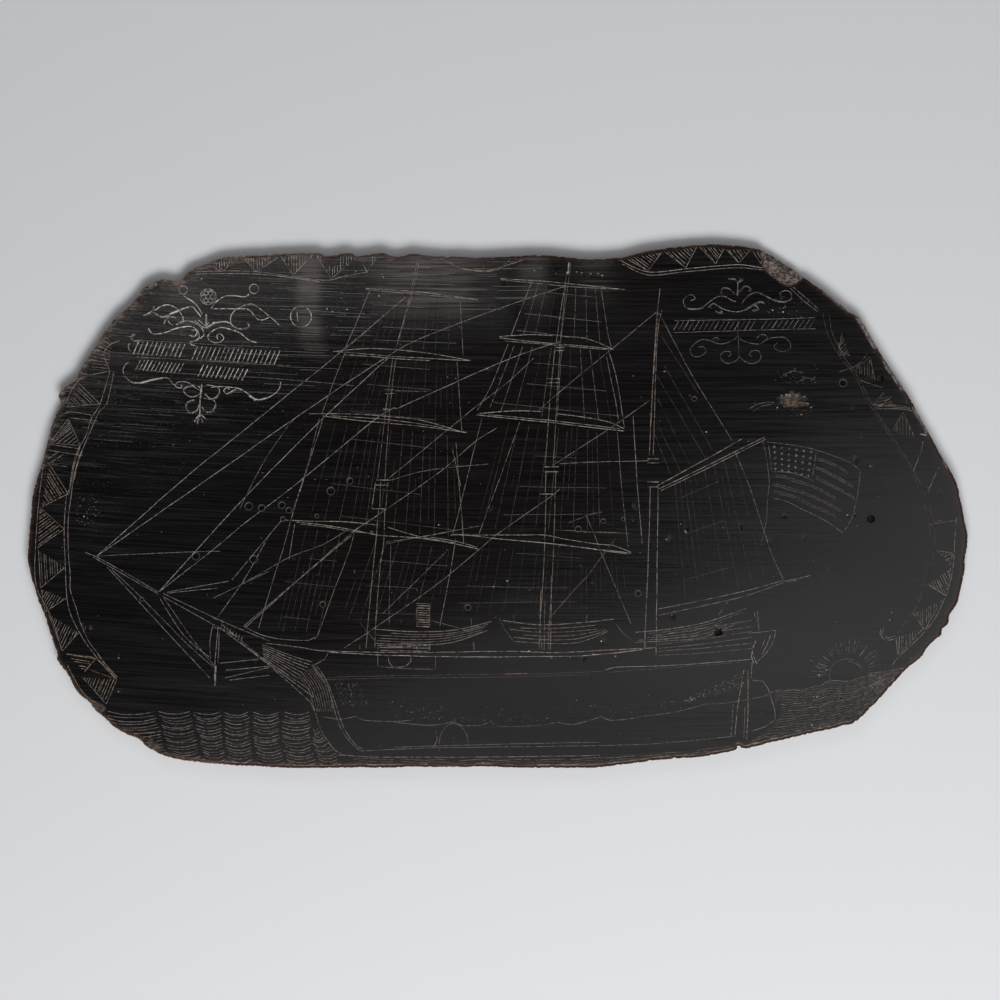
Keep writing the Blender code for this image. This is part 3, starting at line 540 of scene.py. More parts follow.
# The border. Its triangles: the two ends of the side that the hatching starts from, the tip, and where on
# that side the line through the tip would start
INNER_LINES = (
    ((110, 371), (105, 388), (101, 402), (97, 410), (91, 419), (87, 434), (80, 446), (76, 454), (72, 470),
     (69, 489), (66, 497), (64, 529), (65, 560), (66, 590), (69, 610), (79, 632), (90, 649), (109, 672),
     (117, 680)), ((114, 371), (107, 404), (100, 411), (92, 428), (84, 446), (78, 460), (73, 480), (71, 495),
     (68, 520), (68, 545), (70, 575), (70, 590), (76, 608), (80, 622), (88, 640), (98, 654), (108, 667),
     (117, 677)), ((80, 372), (88, 375), (101, 373), (110, 371)), ((792, 286), (806, 298), (819, 310)),
    ((790, 288), (804, 301), (818, 312)), ((896, 635), (888, 638), (882, 633), (884, 627)),
    ((894, 639), (886, 640), (880, 634), (881, 628)), ((82, 377), (72, 389), (66, 404)),
    ((46, 450), (40, 486), (37, 520), (35, 549), (36, 586), (50, 615), (62, 651)),
    ((67, 665), (82, 692), (97, 704)), ((957, 517), (955, 541), (953, 570), (945, 598), (929, 627),
     (896, 660), (892, 668)), ((68, 419), (50, 443)), ((68, 419), (81, 446)), ((50, 443), (81, 446)),
    ((59, 418), (68, 412), (96, 416)), ((68, 418), (98, 421)), ((48, 444), (80, 449)), ((47, 450), (84, 456)),
    ((47, 459), (58, 452)), ((50, 463), (64, 454)), ((43, 463), (68, 467)),
    ((872, 405), (895, 407), (918, 410)), ((873, 409), (900, 409), (917, 412)),
    ((913, 472), (921, 452), (923, 441)), ((928, 492), (934, 478), (940, 466)),
)
TOP_LINES = (
    ((619, 260), (648, 272), (686, 269), (717, 266), (741, 265), (764, 268)),
    ((622, 264), (648, 275), (686, 272), (717, 269), (741, 268), (764, 270)),
    ((186, 272), (235, 271), (262, 272.5), (291, 276.5), (326, 280.5), (345, 276.5), (368, 272)),
    ((196, 274), (240, 273.7), (264, 274.7), (291, 278), (320, 281.8)),
)
GOLD_LINES = (
    ((120, 341), (111, 344), (104, 352), (106, 362), (110, 371)), ((80, 447), (75, 462), (70, 488),
     (68, 496)), ((83, 449), (78, 462), (74, 480)), ((66, 654), (80, 656), (96, 659), (117, 679)),
    ((457, 267), (470, 270.5), (486, 272), (500, 269.5)), ((440, 258), (463, 269), (484, 271), (500, 268),
     (523, 260)),
)
TAN_LINES = (
    ((858, 380), (870, 384), (882, 388)), ((839, 372), (856, 366), (866, 356)),
    ((868, 352), (861, 362), (855, 370)), ((874, 408), (890, 405), (905, 407), (918, 410)),
    ((880, 407), (892, 396)), ((838, 342), (842, 352), (851, 356)),
)
FAINT_LINES = (
    ((823, 313), (827, 332), (839, 356), (853, 374), (872, 409), (892, 440), (913, 475), (922, 500),
     (929, 520), (930, 540), (929, 551), (925, 574), (920, 598), (912, 612), (898, 632)),
    ((829, 314), (832, 332), (842, 354), (857, 376), (876, 411), (896, 442), (917, 477), (927, 500),
     (934, 522), (935, 540), (934, 551), (929, 574), (922, 595), (916, 608), (902, 627), (897, 634)),
)
# Pale layers that show along the right rim: from where to where, and how many lie side by side
LAYERS = (
    ((857, 311), (877, 349), 4), ((884, 356), (905, 392), 4), ((914, 405), (931, 436), 3),
    ((942, 458), (950, 472), 2), ((790, 268), (808, 281), 2), ((822, 292), (846, 309), 2),
)
LAYER_PITCH = 0.9
HATCH_PITCH = 2.7  # between neighbouring lines, straight across them
GILT_TRIANGLES = (
    ((49, 464), (41, 507), (68, 494), 0.0), ((39, 507), (37, 548), (64, 529), 1.0),
    ((66, 654), (84, 672), (95, 659), 0.0), ((117, 679), (82, 677), (106, 704), 0.0),
)
TAN_TRIANGLES = (
    ((842, 333), (850, 355), (838, 355), 0.6), ((854, 372), (875, 380), (870, 357), 0.75),
    ((884, 392), (896, 406), (874, 404), 0.6), ((892, 432), (915, 438), (903, 412), 0.5),
    ((903, 402), (917, 410), (911, 396), 0.5),
)
TOP_TRIANGLES = (
    ((205, 264), (237, 257), (222, 272), 0.5), ((243, 258), (279, 257), (256, 272), 0.36),
    ((280, 256), (313, 255), (293, 275), 0.4), ((316, 255), (357, 257), (331, 279), 0.37),
    ((358, 256), (378, 256), (367, 272), 0.45),
    ((627, 259), (662, 252), (648, 271), 0.1), ((665, 252), (697, 247), (686, 268), 0.1),
    ((700, 247), (725, 248), (716, 264), 0.1), ((726, 249), (751, 250), (739, 263), 0.1),
    ((753, 251), (764, 253), (761, 264), 0.1),
)
TRIANGLES = (
    ((78, 383), (66, 407), (100, 404), 0.0), ((38, 550), (65, 567), (40, 588), 0.0),
    ((41, 589), (66, 598), (45, 612), 0.6), ((48, 614), (79, 632), (62, 651), 0.8),
    ((927, 584), (951, 568), (947, 596), 0.45), ((913, 613), (942, 600), (925, 630), 0.42),
    ((896, 637), (923, 629), (898, 656), 0.08), ((937, 551), (950, 566), (953, 553), 0.4),
)
RAYS = (
    ((440, 258), (450, 254)), ((446, 261), (456, 255)), ((453, 264), (461, 256)), ((465, 269), (467, 256)),
    ((484, 271), (482, 257)), ((501, 268), (511, 259)), ((508, 265), (517, 259)),
)
EDGE_HATCHES = (
    ((104, 336), (84, 366), (109, 369), (112, 343), 10), ((870, 684), (879, 676), (885, 684), (876, 691), 6),
    ((66, 424), (52, 443), (71, 428), (70, 421), 5), ((52, 443), (76, 446), (80, 443), (71, 428), 6),
)

# The sea and the low sun. Borders of the columns of waves: their x at three levels
SEA_BORDERS = (
    (104, 104, 104), (157, 163, 172), (192, 197, 203), (222, 223, 227), (250, 251, 256), (281, 280, 286),
    (312, 311, 318), (345, 345, 345),
)
SEA_LEVELS = (712, 740, 764)
SEA_PITCH = 3.15
SEA_SAG = 2.6
BOW_LINE = ((311, 702), (319, 729), (326, 743), (339, 755))
STERN_LINE = ((769, 687), (774, 703), (776, 719), (768, 727), (748, 740))
WAVE_TOP = (
    (740, 700), (775, 693), (780, 690), (800, 690), (820, 686), (827, 681), (852, 681), (861, 677),
    (884, 671), (906, 668),
)
WAVE_LOW = ((740, 743), (776, 735), (800, 730), (830, 724), (862, 712), (880, 701), (906, 682))
WAVE_ROWS = 19
WAVE_HEIGHT = 0.55
WAVE_LENGTH = 21.0
SUN = (847, 674)
SUN_ARCS = ((17.5, 15.5, 154, 335), (15.5, 13, 275, 348))
RAY_INNER = 20
RAY_OUTER = (30, 41)
RAY_COUNT = 34

# Specks and scratches of wear
SPECKS = (
    (689, 396), (663, 372), (705, 432), (486, 369), (447, 378), (161, 532), (83, 516), (685, 532), (299, 491),
    (200, 279), (528, 651), (550, 658), (592, 654), (614, 656), (816, 697), (811, 725), (813, 697),
    (254, 400), (854, 514), (846, 515), (869, 466), (371, 532), (438, 525), (354, 572), (506, 581),
    (493, 587), (776, 408), (382, 277), (382, 274), (378, 296), (363, 314), (326, 309), (332, 312),
    (355, 272), (346, 310), (455, 379), (534, 271), (555, 274), (566, 273), (576, 272), (581, 273),
    (590, 274), (597, 274), (601, 276), (782, 312), (772, 311), (891, 613), (889, 620), (810, 408),
    (800, 415), (818, 675), (819, 668), (826, 670), (148, 287), (155, 285), (161, 288), (684, 531),
    (665, 539), (671, 615), (600, 641), (569, 657), (118, 658), (117, 692),
)
RANDOM_SPECKS = 190
SCRATCHES = 230
SCRATCH_AREA = (60, 256, 500, 440)
SCRATCH_FLOOR = (480, 0.35)  # the level below which there are none, and how fast it rises to the right
SCRATCH_LENGTH = (8, 70)
SCRATCH_SWAY = 0.012
GRAIN_SINK = 0.09  # slope of the grain at the left end, down towards the right
GRAIN_REACH = 420  # grid steps from the left end in which it becomes level

# Steps between the points of drawn paths
LINE_STEP = 5
FINE_STEP = 4
SCROLL_STEP = 2.2

# How unsteady the hand is: ranges that the random draws come from, as shares of a line or in grid steps
HATCH_SWAY = 0.25
HATCH_END = (0.86, 1.0)
SEAM_SWAY = 0.008
MAIN_SEAM = ((0.0, 0.03), (0.95, 1.0))  # where a seam starts and where it ends
SHORT_SEAM = ((0.0, 0.5), (0.6, 0.95))
REEF = ((0.0, 0.35), (0.6, 1.0))
REEF_SWAY = (0.3, 0.9)
PLANK = ((0, 0.16), (0.78, 1))
CHIMNEY_LEAN = 0.6
STIPPLE = (0.8, 1.8)
STIPPLE_LEAN = 0.4
KEEL_START = (0, 20)
KEEL_DASH = (30, 80)
KEEL_GAP = (2, 8)
KEEL_STEP = 6.0
KEEL_SWELL = 0.5
BAND_SWAY = 0.15
STAR_SIZE = (1.5, 2.1)
STAR_LEAN = 0.9
DOUBLE_SHIFT = 0.9  # between a scroll and the thin line that doubles a stretch of it
DOUBLE_POINTS = 4
RING_ARCS = ((118, 240), (-58, 62))  # bold parts of the broken ring, in degrees
RING_MARK = ((-4, -5), (-3, 5))
LAYER_INSET = 0.8
SEA_START = (0.3, 3.5)
SEA_END = (0.0, 2.5)
SEA_LEAST = 5
SEA_SWAY = 0.6
SEA_RISE = (-0.9, 0.4)
SEA_BENDS = (0.3, 0.68)
SEA_BOLD = 0.75  # share of the waves that are cut with the bolder pen
WAVE_TURN = 0.8
WAVE_SWAY = 0.25
RAY_FIRST = 172
RAY_SPAN = 196
RAY_SWAY = 0.05
SPECK_SIZES = {"dot": (1.0, 2.2), "speck": (0.6, 1.8)}
SPECK_LEANS = {"dot": 0.6, "speck": 0.5}

# How strokes are cut: what is kept inside the rim, and how their width swells
RIM_REACH = 16.0  # grid steps within which distances from the rim are measured
STROKE_MARGIN = 1.3
LAYER_MARGIN = 0.3
SHORTEST = 0.7
TIP_SHARE = 0.4
WIDTH_SHARE = 0.86
WIDTH_SWELL = 0.24

# Points between the strokes
FILL_STEP = 6.0
FILL_MARGIN = 2.0
HEM_STEP = 2.4
SPLIT_STEP = 1.5
CHIP_BOX = (758, 245, 812, 292)
PIT_BOX = 1.4  # reach of the fine points, as a share of the hollow's own
EPSILON = 0.0001
SHARP = math.radians(24)

# Borders of the bores and of the torn places
BORE_BEVEL = 0.9
BORE_SINK = 0.00025
PIT_BORDER = 0.7
PALE_REACH = 0.6
CHIP_SOFT = 0.7
SPLIT_SOFT = 0.6
SPLIT_FIBRE = 0.75

# The broken wall of the rim: share of the way down, and how far in it lies (metres), level by level
WALL = (
    (0.10, 0.00002), (0.24, 0.00022), (0.36, 0.00008), (0.52, 0.00026), (0.66, 0.00010), (0.82, 0.00028),
    (1, 0.00045),
)
BORE_WALL = ((0.5, 0.0), (1, 0.0))
WALL_NOISE = 0.00016
WALL_ROUGHNESS = 900  # features per metre
RIM_WEAR = (1.0, 0, 0, 0)
BORE_WEAR = (0, 0, 1.0, 0)
BACK_STEP = 10.0
BACK_MARGIN = 5
BACK_SCALE = 1000  # the triangulation of the back is done in millimetres

# Where the front, the back and the walls lie on the unwrapped map
MAP_MARGIN = 0.002
FRONT_SHARE = 0.996
BACK_SHARE = 0.70
BACK_FLOOR = 0.585
WALL_LEFT = 0.73
WALL_WIDTH = 0.26
WALL_ROWS = 12
RIM_ROWS = 9
WALL_PITCH = 0.032
WALL_FILL = 0.9

# Noises of the material, those that run along its grain first: features per metre on each axis, detail and
# roughness
GRAIN_NOISES = {
    "fine": ((28, 1700, 300), 3.0, 0.65),
    "hair": ((55, 3400, 500), 1.0, 0.5),
    "broad": ((9, 260, 60), 3.0, 0.6),
    "ply": ((260, 1300, 500), 3.0, 0.6),
}
PLAIN_NOISES = {
    "cloud": ((16, 34, 20), 3.0, 0.5),
    "fleck": ((900, 1400, 900), 2.0, 0.6),
    "worn": ((380, 520, 400), 3.0, 0.65),
    "crumb": ((720, 1150, 900), 3.0, 0.7),
    "dent": ((1300, 1700, 1500), 1.0, 0.5),
    "broken": ((700, 700, 700), 3.0, 0.75),
}
COLOURS = {
    "lower face": (0.0032, 0.0018, 0.0016, 1),
    "upper face": (0.0052, 0.0036, 0.0033, 1),
    "clouds": (0.0050, 0.0043, 0.0040, 1),
    # painted sheen: a lighter face towards the right, standing in for reflected light there
    "painted sheen at right": (0.0095, 0.0090, 0.0090, 1),
    # painted sheen: a lighter face at the left, making up for reflected light
    "painted sheen at left": (0.0056, 0.0054, 0.0056, 1),
    "dark grain": (0.0012, 0.0009, 0.0009, 1),
    # painted sheen: a pale haze at the upper left where the face mirrors light
    "painted sheen haze": (0.036, 0.0330, 0.0318, 1),
    # real pale grain streaks and hairlines, also painted brighter at the upper left as glints of the sheen
    # there
    "pale grain and glints": (0.024, 0.0225, 0.0215, 1),
    "hairlines and glints": (0.062, 0.059, 0.057, 1),
    "dents": (0.075, 0.069, 0.065, 1),
    # painted sheen: pale upright bands near the top, standing in for reflections in the rippled face
    "painted sheen bands": (0.110, 0.098, 0.092, 1),
    "dark hem": (0.036, 0.027, 0.024, 1),
    "pale hem": (0.400, 0.310, 0.270, 1),
    # painted sheen: a lighter colour along the right rim, where the face mirrors less, in place of part of
    # the reflection
    "painted sheen at right rim": (0.020, 0.0155, 0.0140, 1),
    "brown hem": (0.070, 0.040, 0.030, 1),
    "warm hem": (0.024, 0.011, 0.0045, 1),
    "red edge": (0.125, 0.062, 0.048, 1),
    "pale edge": (0.30, 0.220, 0.180, 1),
    "golden edge": (0.26, 0.175, 0.105, 1),
    "pink tear": (0.27, 0.221, 0.199, 1),
    "ochre tear": (0.175, 0.127, 0.086, 1),
    "deep tear": (0.040, 0.029, 0.025, 1),
    "worn tear": (0.060, 0.047, 0.042, 1),
    "inside a bore": (0.004, 0.0032, 0.003, 1),
    "border of a bore": (0.20, 0.18, 0.165, 1),
    "stained filling": (0.10, 0.065, 0.050, 1),
}
# Upright pale bands of painted sheen near the top, standing in for reflections in the rippled face: left
# side, right side and foot in metres, and strength
PAINTED_SHEEN_BANDS = (
    (-0.0685, -0.0610, 0.0560, 0.85), (-0.0395, -0.0070, 0.0660, 0.90), (-0.118, -0.104, 0.0560, 0.45),
    (0.0080, 0.0180, 0.0720, 0.45), (0.0300, 0.0390, 0.0720, 0.35),
)
# Masks are products of ramps. A ramp gives its source, the values at which it starts and ends, and what it
# runs from and to when that isn't 0 to 1. x and y are in metres, and slant rises towards the upper left.
MASKS = {
    "corner": (("slant", 0.080, 0.115), ("x", -0.062, -0.082, 0.30, 1.0)),
    "low left": (("y", -0.045, -0.065), ("x", -0.085, -0.105)),
    "hollow": (("x", 0.122, 0.114), ("y", 0.062, 0.050)),
}
# The layers of the face from the lowest to the topmost: colour, and the parts of its mask
LAYERS_OF_COLOUR = (
    ("clouds", ("cloud", 0.45, 0.75, 0.0, 0.6)),
    # painted sheen: the face is made lighter towards the right, in place of reflected light
    ("painted sheen at right", ("x", 0.02, 0.12, 0.0, 0.9)),
    # painted sheen: the face is made lighter at the left, in place of reflected light
    ("painted sheen at left", ("x", -0.05, -0.11, 0.0, 0.8)),
    ("dark grain", ("fine", 0.50, 0.38, 0.0, 0.6)),
    # painted sheen: a pale haze over the upper left, in place of a reflection
    ("painted sheen haze", ("slant", 0.085, 0.135), ("cloud", 0.30, 0.60, 0.5, 1.0), ("fine", 0.42, 0.62, 0.30, 0.85)),
    # real grain streaks and hairlines, painted brighter towards the upper left as glints of the sheen
    ("pale grain and glints", ("fine", 0.56, 0.66), ("cloud", 0.30, 0.60, 0.25, 1.0), ("slant", 0.0, 0.12, 0.10, 0.9)),
    ("hairlines and glints", ("hair", 0.60, 0.70), ("slant", 0.04, 0.14, 0.05, 0.9)),
    ("dents", ("dent", 0.66, 0.72), ("slant", 0.04, 0.14, 0.05, 0.9)),
    # painted sheen: pale upright bands near the top, in place of reflections
    ("painted sheen bands", ("ripple",), ("cloud", 0.30, 0.60, 0.55, 1.0), ("fine", 0.40, 0.60, 0.20, 1.0)),
    ("hem", ("corner",), ("broad rim",), ("worn", 0.42, 0.55, 0.05, 1.0)),
    # painted sheen: lighter along the right rim, standing in for part of the lost reflection
    ("painted sheen at right rim", ("rim", 0.05, 0.5, 0.0, 0.6), ("x", 0.10, 0.15)),
    ("brown hem", ("narrow rim",), ("worn", 0.42, 0.60, 0.05, 0.8)),
    ("warm hem", ("rim", 0.15, 0.6, 0.0, 0.8), ("y", -0.072, -0.084)),
    ("edge", ("edge",), ("fleck", 0.40, 0.60, 0.25, 0.95)),
    ("tear", ("fibre",), 0.94),
    ("inside a bore", ("bore",)),
    ("border of a bore", ("pale",), 0.6),
)
RIM_POWERS = {"broad rim": 1.25, "narrow rim": 2.8, "edge": 4.8}
GRAIN_BEND = 0.27  # the grain sinks by this times the square of the place, left of the middle
SHEEN_BAND_SWAY = 0.014
SHEEN_BAND_SOFT = 0.35
SHEEN_BAND_FADE = (-0.006, 0.008)
BUMP_STRENGTH = 0.35
BUMP_DEPTH = 0.00006

# Light and camera. Lights: name, place, what they point at, size, power in watts, and turn in degrees.
LIGHTS = (
    ("key", (0.12, -0.78, 0.88), (0, 0, 0), (0.8, 0.5), 10.6, 0),
    ("back", (-0.10, 0.95, 0.75), (0, 0, 0), (1.0, 0.6), 2.0, 0),
    ("lower sheen", (0.495, -0.593, 1.30), (0.495, -0.593, 0), (2.2, 1.2), 6.1, 31),
    ("upper sheen", (-0.20, 0.44, 1.30), (-0.20, 0.44, 0), (0.52, 0.30), 0.38, 0),
)
SKY_COLOUR = (0.86, 0.90, 1.0, 1)
SKY_STRENGTH = 0.03
LENS = 100
SENSOR = 36
GRID_SPAN = 1000  # grid steps that the picture spans at the face
FACE_LEVEL = 0.0050
VIEW_CENTRE = (500, 500)
FLOOR_SIZE = 3.0
FLOOR_GAP = 0.0001
FLOOR_COLOUR = (0.80, 0.81, 0.83, 1)


def spline_point(before, start, end, after, t):
    """A point of the smooth curve through start and end."""
    return tuple(
        0.5 * (2 * b + (c - a) * t + (2 * a - 5 * b + 4 * c - d) * t * t + (3 * b - a - 3 * c + d) * t**3)
        for a, b, c, d in zip(before, start, end, after, strict=True)
    )


def smooth_path(points, step, closed=False):
    """Points about a step apart along a smooth curve through the given ones."""
    count = len(points)
    path = []
    for i in range(count if closed else count - 1):
        if closed:
            around = [points[(i + k) % count] for k in (-1, 0, 1, 2)]
        else:
            around = [points[min(max(i + k, 0), count - 1)] for k in (-1, 0, 1, 2)]
        pieces = max(1, round(math.dist(around[1], around[2]) / step))
        path += [spline_point(*around, n / pieces) for n in range(pieces)]
    return path if closed else path + [points[-1]]


def between(start, end, share):
    return tuple(a + (b - a) * share for a, b in zip(start, end, strict=True))


def in_corners(corners, across, down):
    """The place in a four-sided field, by its shares of the way across and down."""
    a, b, c, d = corners
    return between(between(a, b, across), between(d, c, across), down)


def on_path(points, share):
    """The place at a share of the way along a path."""
    lengths = [math.dist(a, b) for a, b in zip(points, points[1:])]
    left = share * sum(lengths)
    for (a, b), length in zip(zip(points, points[1:]), lengths, strict=True):
        if left <= length:
            return between(a, b, left / length)
        left -= length
    return points[-1]


def sideways(path, i, reach=1):
    """Unit vector across a path at its point i, which points inwards on the rim."""
    ahead = Vector(path[(i + reach) % len(path)]) - Vector(path[i - reach])
    return Vector((-ahead.y, ahead.x)).normalized()


def ragged_rim():
    """The outline on the grid with breaks of three sizes along it, all of them inwards."""
    path = smooth_path(OUTLINE, RIM_STEP, closed=True)
    rim = []
    for i, (x, y) in enumerate(path):
        inward = sideways(path, i)
        shift = 0.0
        for pitch, depth in RIM_NOISE:
            value = noise.noise(Vector((x * pitch, y * pitch, RIM_SEED)))
            shift += depth * max(0.0, value)
        rim.append((x + inward.x * shift, y + inward.y * shift))
    return rim


RIM = ragged_rim()
LEFT = min(x for x, y in RIM)
RIGHT = max(x for x, y in RIM)
TOP = min(y for x, y in RIM)
BOTTOM = max(y for x, y in RIM)
GRID = (HIGH.x - LOW.x) / (RIGHT - LEFT)  # real size of one grid step


def to_metres(points):
    """Places on the panel, in metres, for an array of places on the grid."""
    points = np.asarray(points, float)
    x = LOW.x + (points[:, 0] - LEFT) / (RIGHT - LEFT) * (HIGH.x - LOW.x)
    y = HIGH.y - (points[:, 1] - TOP) / (BOTTOM - TOP) * (HIGH.y - LOW.y)
    return np.stack([x, y], 1)


def to_grid(points):
    """Places on the grid for places on the panel, in metres."""
    points = np.asarray(points, float)
    x = (points[:, 0] - LOW.x) / GRID + LEFT
    y = (HIGH.y - points[:, 1]) / (HIGH.y - LOW.y) * (BOTTOM - TOP) + TOP
    return np.stack([x, y], 1)


# Strokes: the pen's name and the path of each engraved line, on the grid
strokes = []
chance = random.Random(STROKE_SEED)
noise.seed_set(STROKE_SEED)  # without it, vector noises differ each run


def swayed(reach):
    """A random number from -reach to reach."""
    return chance.uniform(-reach, reach)


def engrave(pen, *paths, step=LONGEST):
    for path in paths:
        strokes.append((pen, smooth_path(path, step)))


def arc(pen, x, y, wide, high, first, last, points=12):
    """Part of an oval ring, from one direction to another in degrees clockwise from the right."""
    turns = [math.radians(first + (last - first) * n / points) for n in range(points + 1)]
    strokes.append((pen, [(x + wide * math.cos(turn), y + high * math.sin(turn)) for turn in turns]))


def ring(pen, x, y, radius, points=14):
    arc(pen, x, y, radius, radius, 0, 360, points)


def hatch(pen, outline, triangles):
    """Parallel lines that fill each triangle from its side a-b, and its outline.

    The line through the tip would start at the share turn of that side: at 0 all run along a-tip.
    """
    for a, b, tip, turn in triangles:
        engrave(outline, (a, tip), (b, tip))
        run = Vector(tip) - Vector(between(a, b, turn))
        side = Vector(b) - Vector(a)
        count = round(abs(side.cross(run)) / run.length / HATCH_PITCH)
        for n in range(1, count):
            share = (n + swayed(HATCH_SWAY)) / count
            start = between(a, b, share)
            if share < turn:
                end = between(a, tip, share / turn)
            else:
                end = between(tip, b, (share - turn) / (1 - turn))
            engrave(pen, (start, between(start, end, chance.uniform(*HATCH_END))))


def draw_sail(head_left, head_right, foot_right, foot_left, count, pen):
    """The seams that run down a sail, some of them only part of the way, and its level lines."""
    for n in range(1, 2 * count):
        main = n % 2 == 0
        if not main and (pen == "thin" or chance.random() > 0.5):
            continue
        share = n / (2 * count) + swayed(SEAM_SWAY)
        head = between(head_left, head_right, share)
        foot = between(foot_left, foot_right, share)
        starts, ends = MAIN_SEAM if main else SHORT_SEAM
        start = between(head, foot, chance.uniform(*starts))
        end = between(head, foot, chance.uniform(*ends))
        engrave(pen if main and chance.random() < 0.8 else "ghost", (start, between(start, end, 0.5), end))
    for n in range(REEFS):
        down = (n + chance.uniform(*REEF_SWAY)) / REEFS
        left, right = between(head_left, foot_left, down), between(head_right, foot_right, down)
        start, end = (chance.uniform(*reach) for reach in REEF)
        engrave("ghost", (between(left, right, start), between(left, right, end)))


def draw_ship():
    engrave("mast", *MASTS)
    for left, right, top, bottom in CAPS:
        engrave("spar", ((left, top), (right, top)), ((left, bottom), (right, bottom)))
    engrave("spar", *YARDS)
    engrave("rust", *RUST_SPARS)
    engrave("line", *BOOMS, *FINE_STAYS, *BOWSPRIT, *LEECHES)
    engrave("stay", *STAYS)
    engrave("thin", *THIN_LINES)
    engrave("seam", *GAFF_SEAMS)
    for sail in SAILS:
        draw_sail(*sail)


def draw_boats():
    for stem, gunwale, keel, planks in BOATS:
        engrave("thin", stem)
        for n in range(planks + 1):
            outer = n in (0, planks)
            start, end = (0, 1) if outer else (chance.uniform(*reach) for reach in PLANK)
            along = [start + (end - start) * k / 3 for k in range(4)]
            plank = [between(on_path(gunwale, t), on_path(keel, t), n / planks) for t in along]
            engrave("mast" if outer else "weave", plank)


def draw_hull():
    engrave("line", *HULL)
    engrave("line", *WINCH, step=LINE_STEP)
    engrave("spar", *SHEER, *STERN, step=LINE_STEP)
    engrave("thin", *DECK_LINES, *WATERLINE, *WINDLASS, step=LINE_STEP)
    engrave("wale", *WALES, step=LINE_STEP)
    for first, last, count, pen in FANS:
        for n in range(count):
            line = [between(a, b, n / (count - 1)) for a, b in zip(first, last, strict=True)]
            engrave(pen, line, step=LINE_STEP)
    draw_boats()
    left, right, top, bottom, rows = CHIMNEY
    for n in range(rows):
        y = top + (bottom - top) * n / (rows - 1)
        engrave("spar" if n % 3 else "rust", ((left, y), (right, y + CHIMNEY_LEAN)))
    engrave("thin", ((left + 1, top), (left + 1, bottom)), ((right, top), (right, bottom)))
    for corners, count, pen, bright in STIPPLES:
        for _ in range(count):
            across, down = chance.random(), chance.random()
            x, y = in_corners(corners, across, down)
            used = "curl" if chance.random() < bright else pen
            engrave(used, ((x, y), (x + chance.uniform(*STIPPLE), y + STIPPLE_LEAN)))
    engrave("thin", *HULL_ARCS, step=FINE_STEP)
    ring("seam", *SHIELD_SPOT, 6)
    for row in range(KEEL_ROWS):
        x = KEEL[0][0] + chance.uniform(*KEEL_START)
        while x < KEEL[-1][0] - KEEL_START[1]:
            end = min(x + chance.uniform(*KEEL_DASH), KEEL[-1][0])
            places = np.arange(x, end, KEEL_STEP)
            levels = np.interp(places, *zip(*KEEL)) + row * KEEL_PITCH
            levels = levels + KEEL_SWELL * np.sin(places / KEEL_STEP + row)
            engrave("swell" if row else "tan", list(zip(places.tolist(), levels.tolist())), step=KEEL_STEP)
            x = end + chance.uniform(*KEEL_GAP)


def draw_flag():
    engrave("thin", HOIST, FLAG_TOP, FLAG_FLY, FLAG_FOOT, *CANTON, step=LINE_STEP)
    for band in FLAG_BANDS:
        for offset in BAND_OFFSETS:
            engrave("band", [(x, y + offset + swayed(BAND_SWAY)) for x, y in band], step=LINE_STEP)
    for row in range(STAR_ROWS):
        for column in range(STAR_COLUMNS):
            x, y = in_corners(STAR_AREA, column / (STAR_COLUMNS - 1), row / (STAR_ROWS - 1))
            size = chance.uniform(*STAR_SIZE)
            lean = swayed(STAR_LEAN)
            engrave("star", ((x - size, y - lean), (x + size, y + lean)))
            engrave("star", ((x + lean, y - size), (x - lean, y + size)))


def draw_scrolls():
    engrave("flourish", *TOP_SCROLLS, step=SCROLL_STEP)
    engrave("scroll", *SCROLLS, step=SCROLL_STEP)
    engrave("curl", *CURLS, step=SCROLL_STEP)
    engrave("faded", *FADED_CURLS, step=SCROLL_STEP)
    for scroll in (*TOP_SCROLLS, *SCROLLS, *CURLS):
        first = chance.randrange(max(1, len(scroll) - DOUBLE_POINTS + 1))
        stretch = scroll[first:first + DOUBLE_POINTS]
        engrave("thin", [(x + DOUBLE_SHIFT, y + DOUBLE_SHIFT) for x, y in stretch], step=SCROLL_STEP)
    engrave("dot", *BOLD_STROKES, step=3)
    for x, y, radius in CIRCLES:
        ring("scroll", x, y, radius)
    x, y, out, count, radius = ROSETTE
    for n in range(count):
        turn = 2 * math.pi * n / count
        ring("scroll", x + out * math.cos(turn), y + out * math.sin(turn), radius, 8)
    x, y, radius = BROKEN_RING
    ring("thin", x, y, radius)
    for first, last in RING_ARCS:
        arc("mark", x, y, radius, radius, first, last)
    engrave("scroll", [(x + across, y + down) for across, down in RING_MARK])
    engrave("thin", *MARK_RULES)
    for start, end, height, count, *pens in MARK_ROWS:
        for n in range(count):
            x, y = between(start, end, n / (count - 1))
            engrave(pens[n % 2], ((x + MARK_LEAN, y - height / 2), (x - MARK_LEAN, y + height / 2)))


def rim_stretch(start, end, inset):
    """The stretch of the rim between two places, moved inwards."""
    first, last = (min(range(len(RIM)), key=lambda i: math.dist(RIM[i], place)) for place in (start, end))
    line = []
    for i in range(first, last + 1, 2):
        inward = sideways(RIM, i, 2) * inset
        line.append((RIM[i][0] + inward.x, RIM[i][1] + inward.y))
    return line


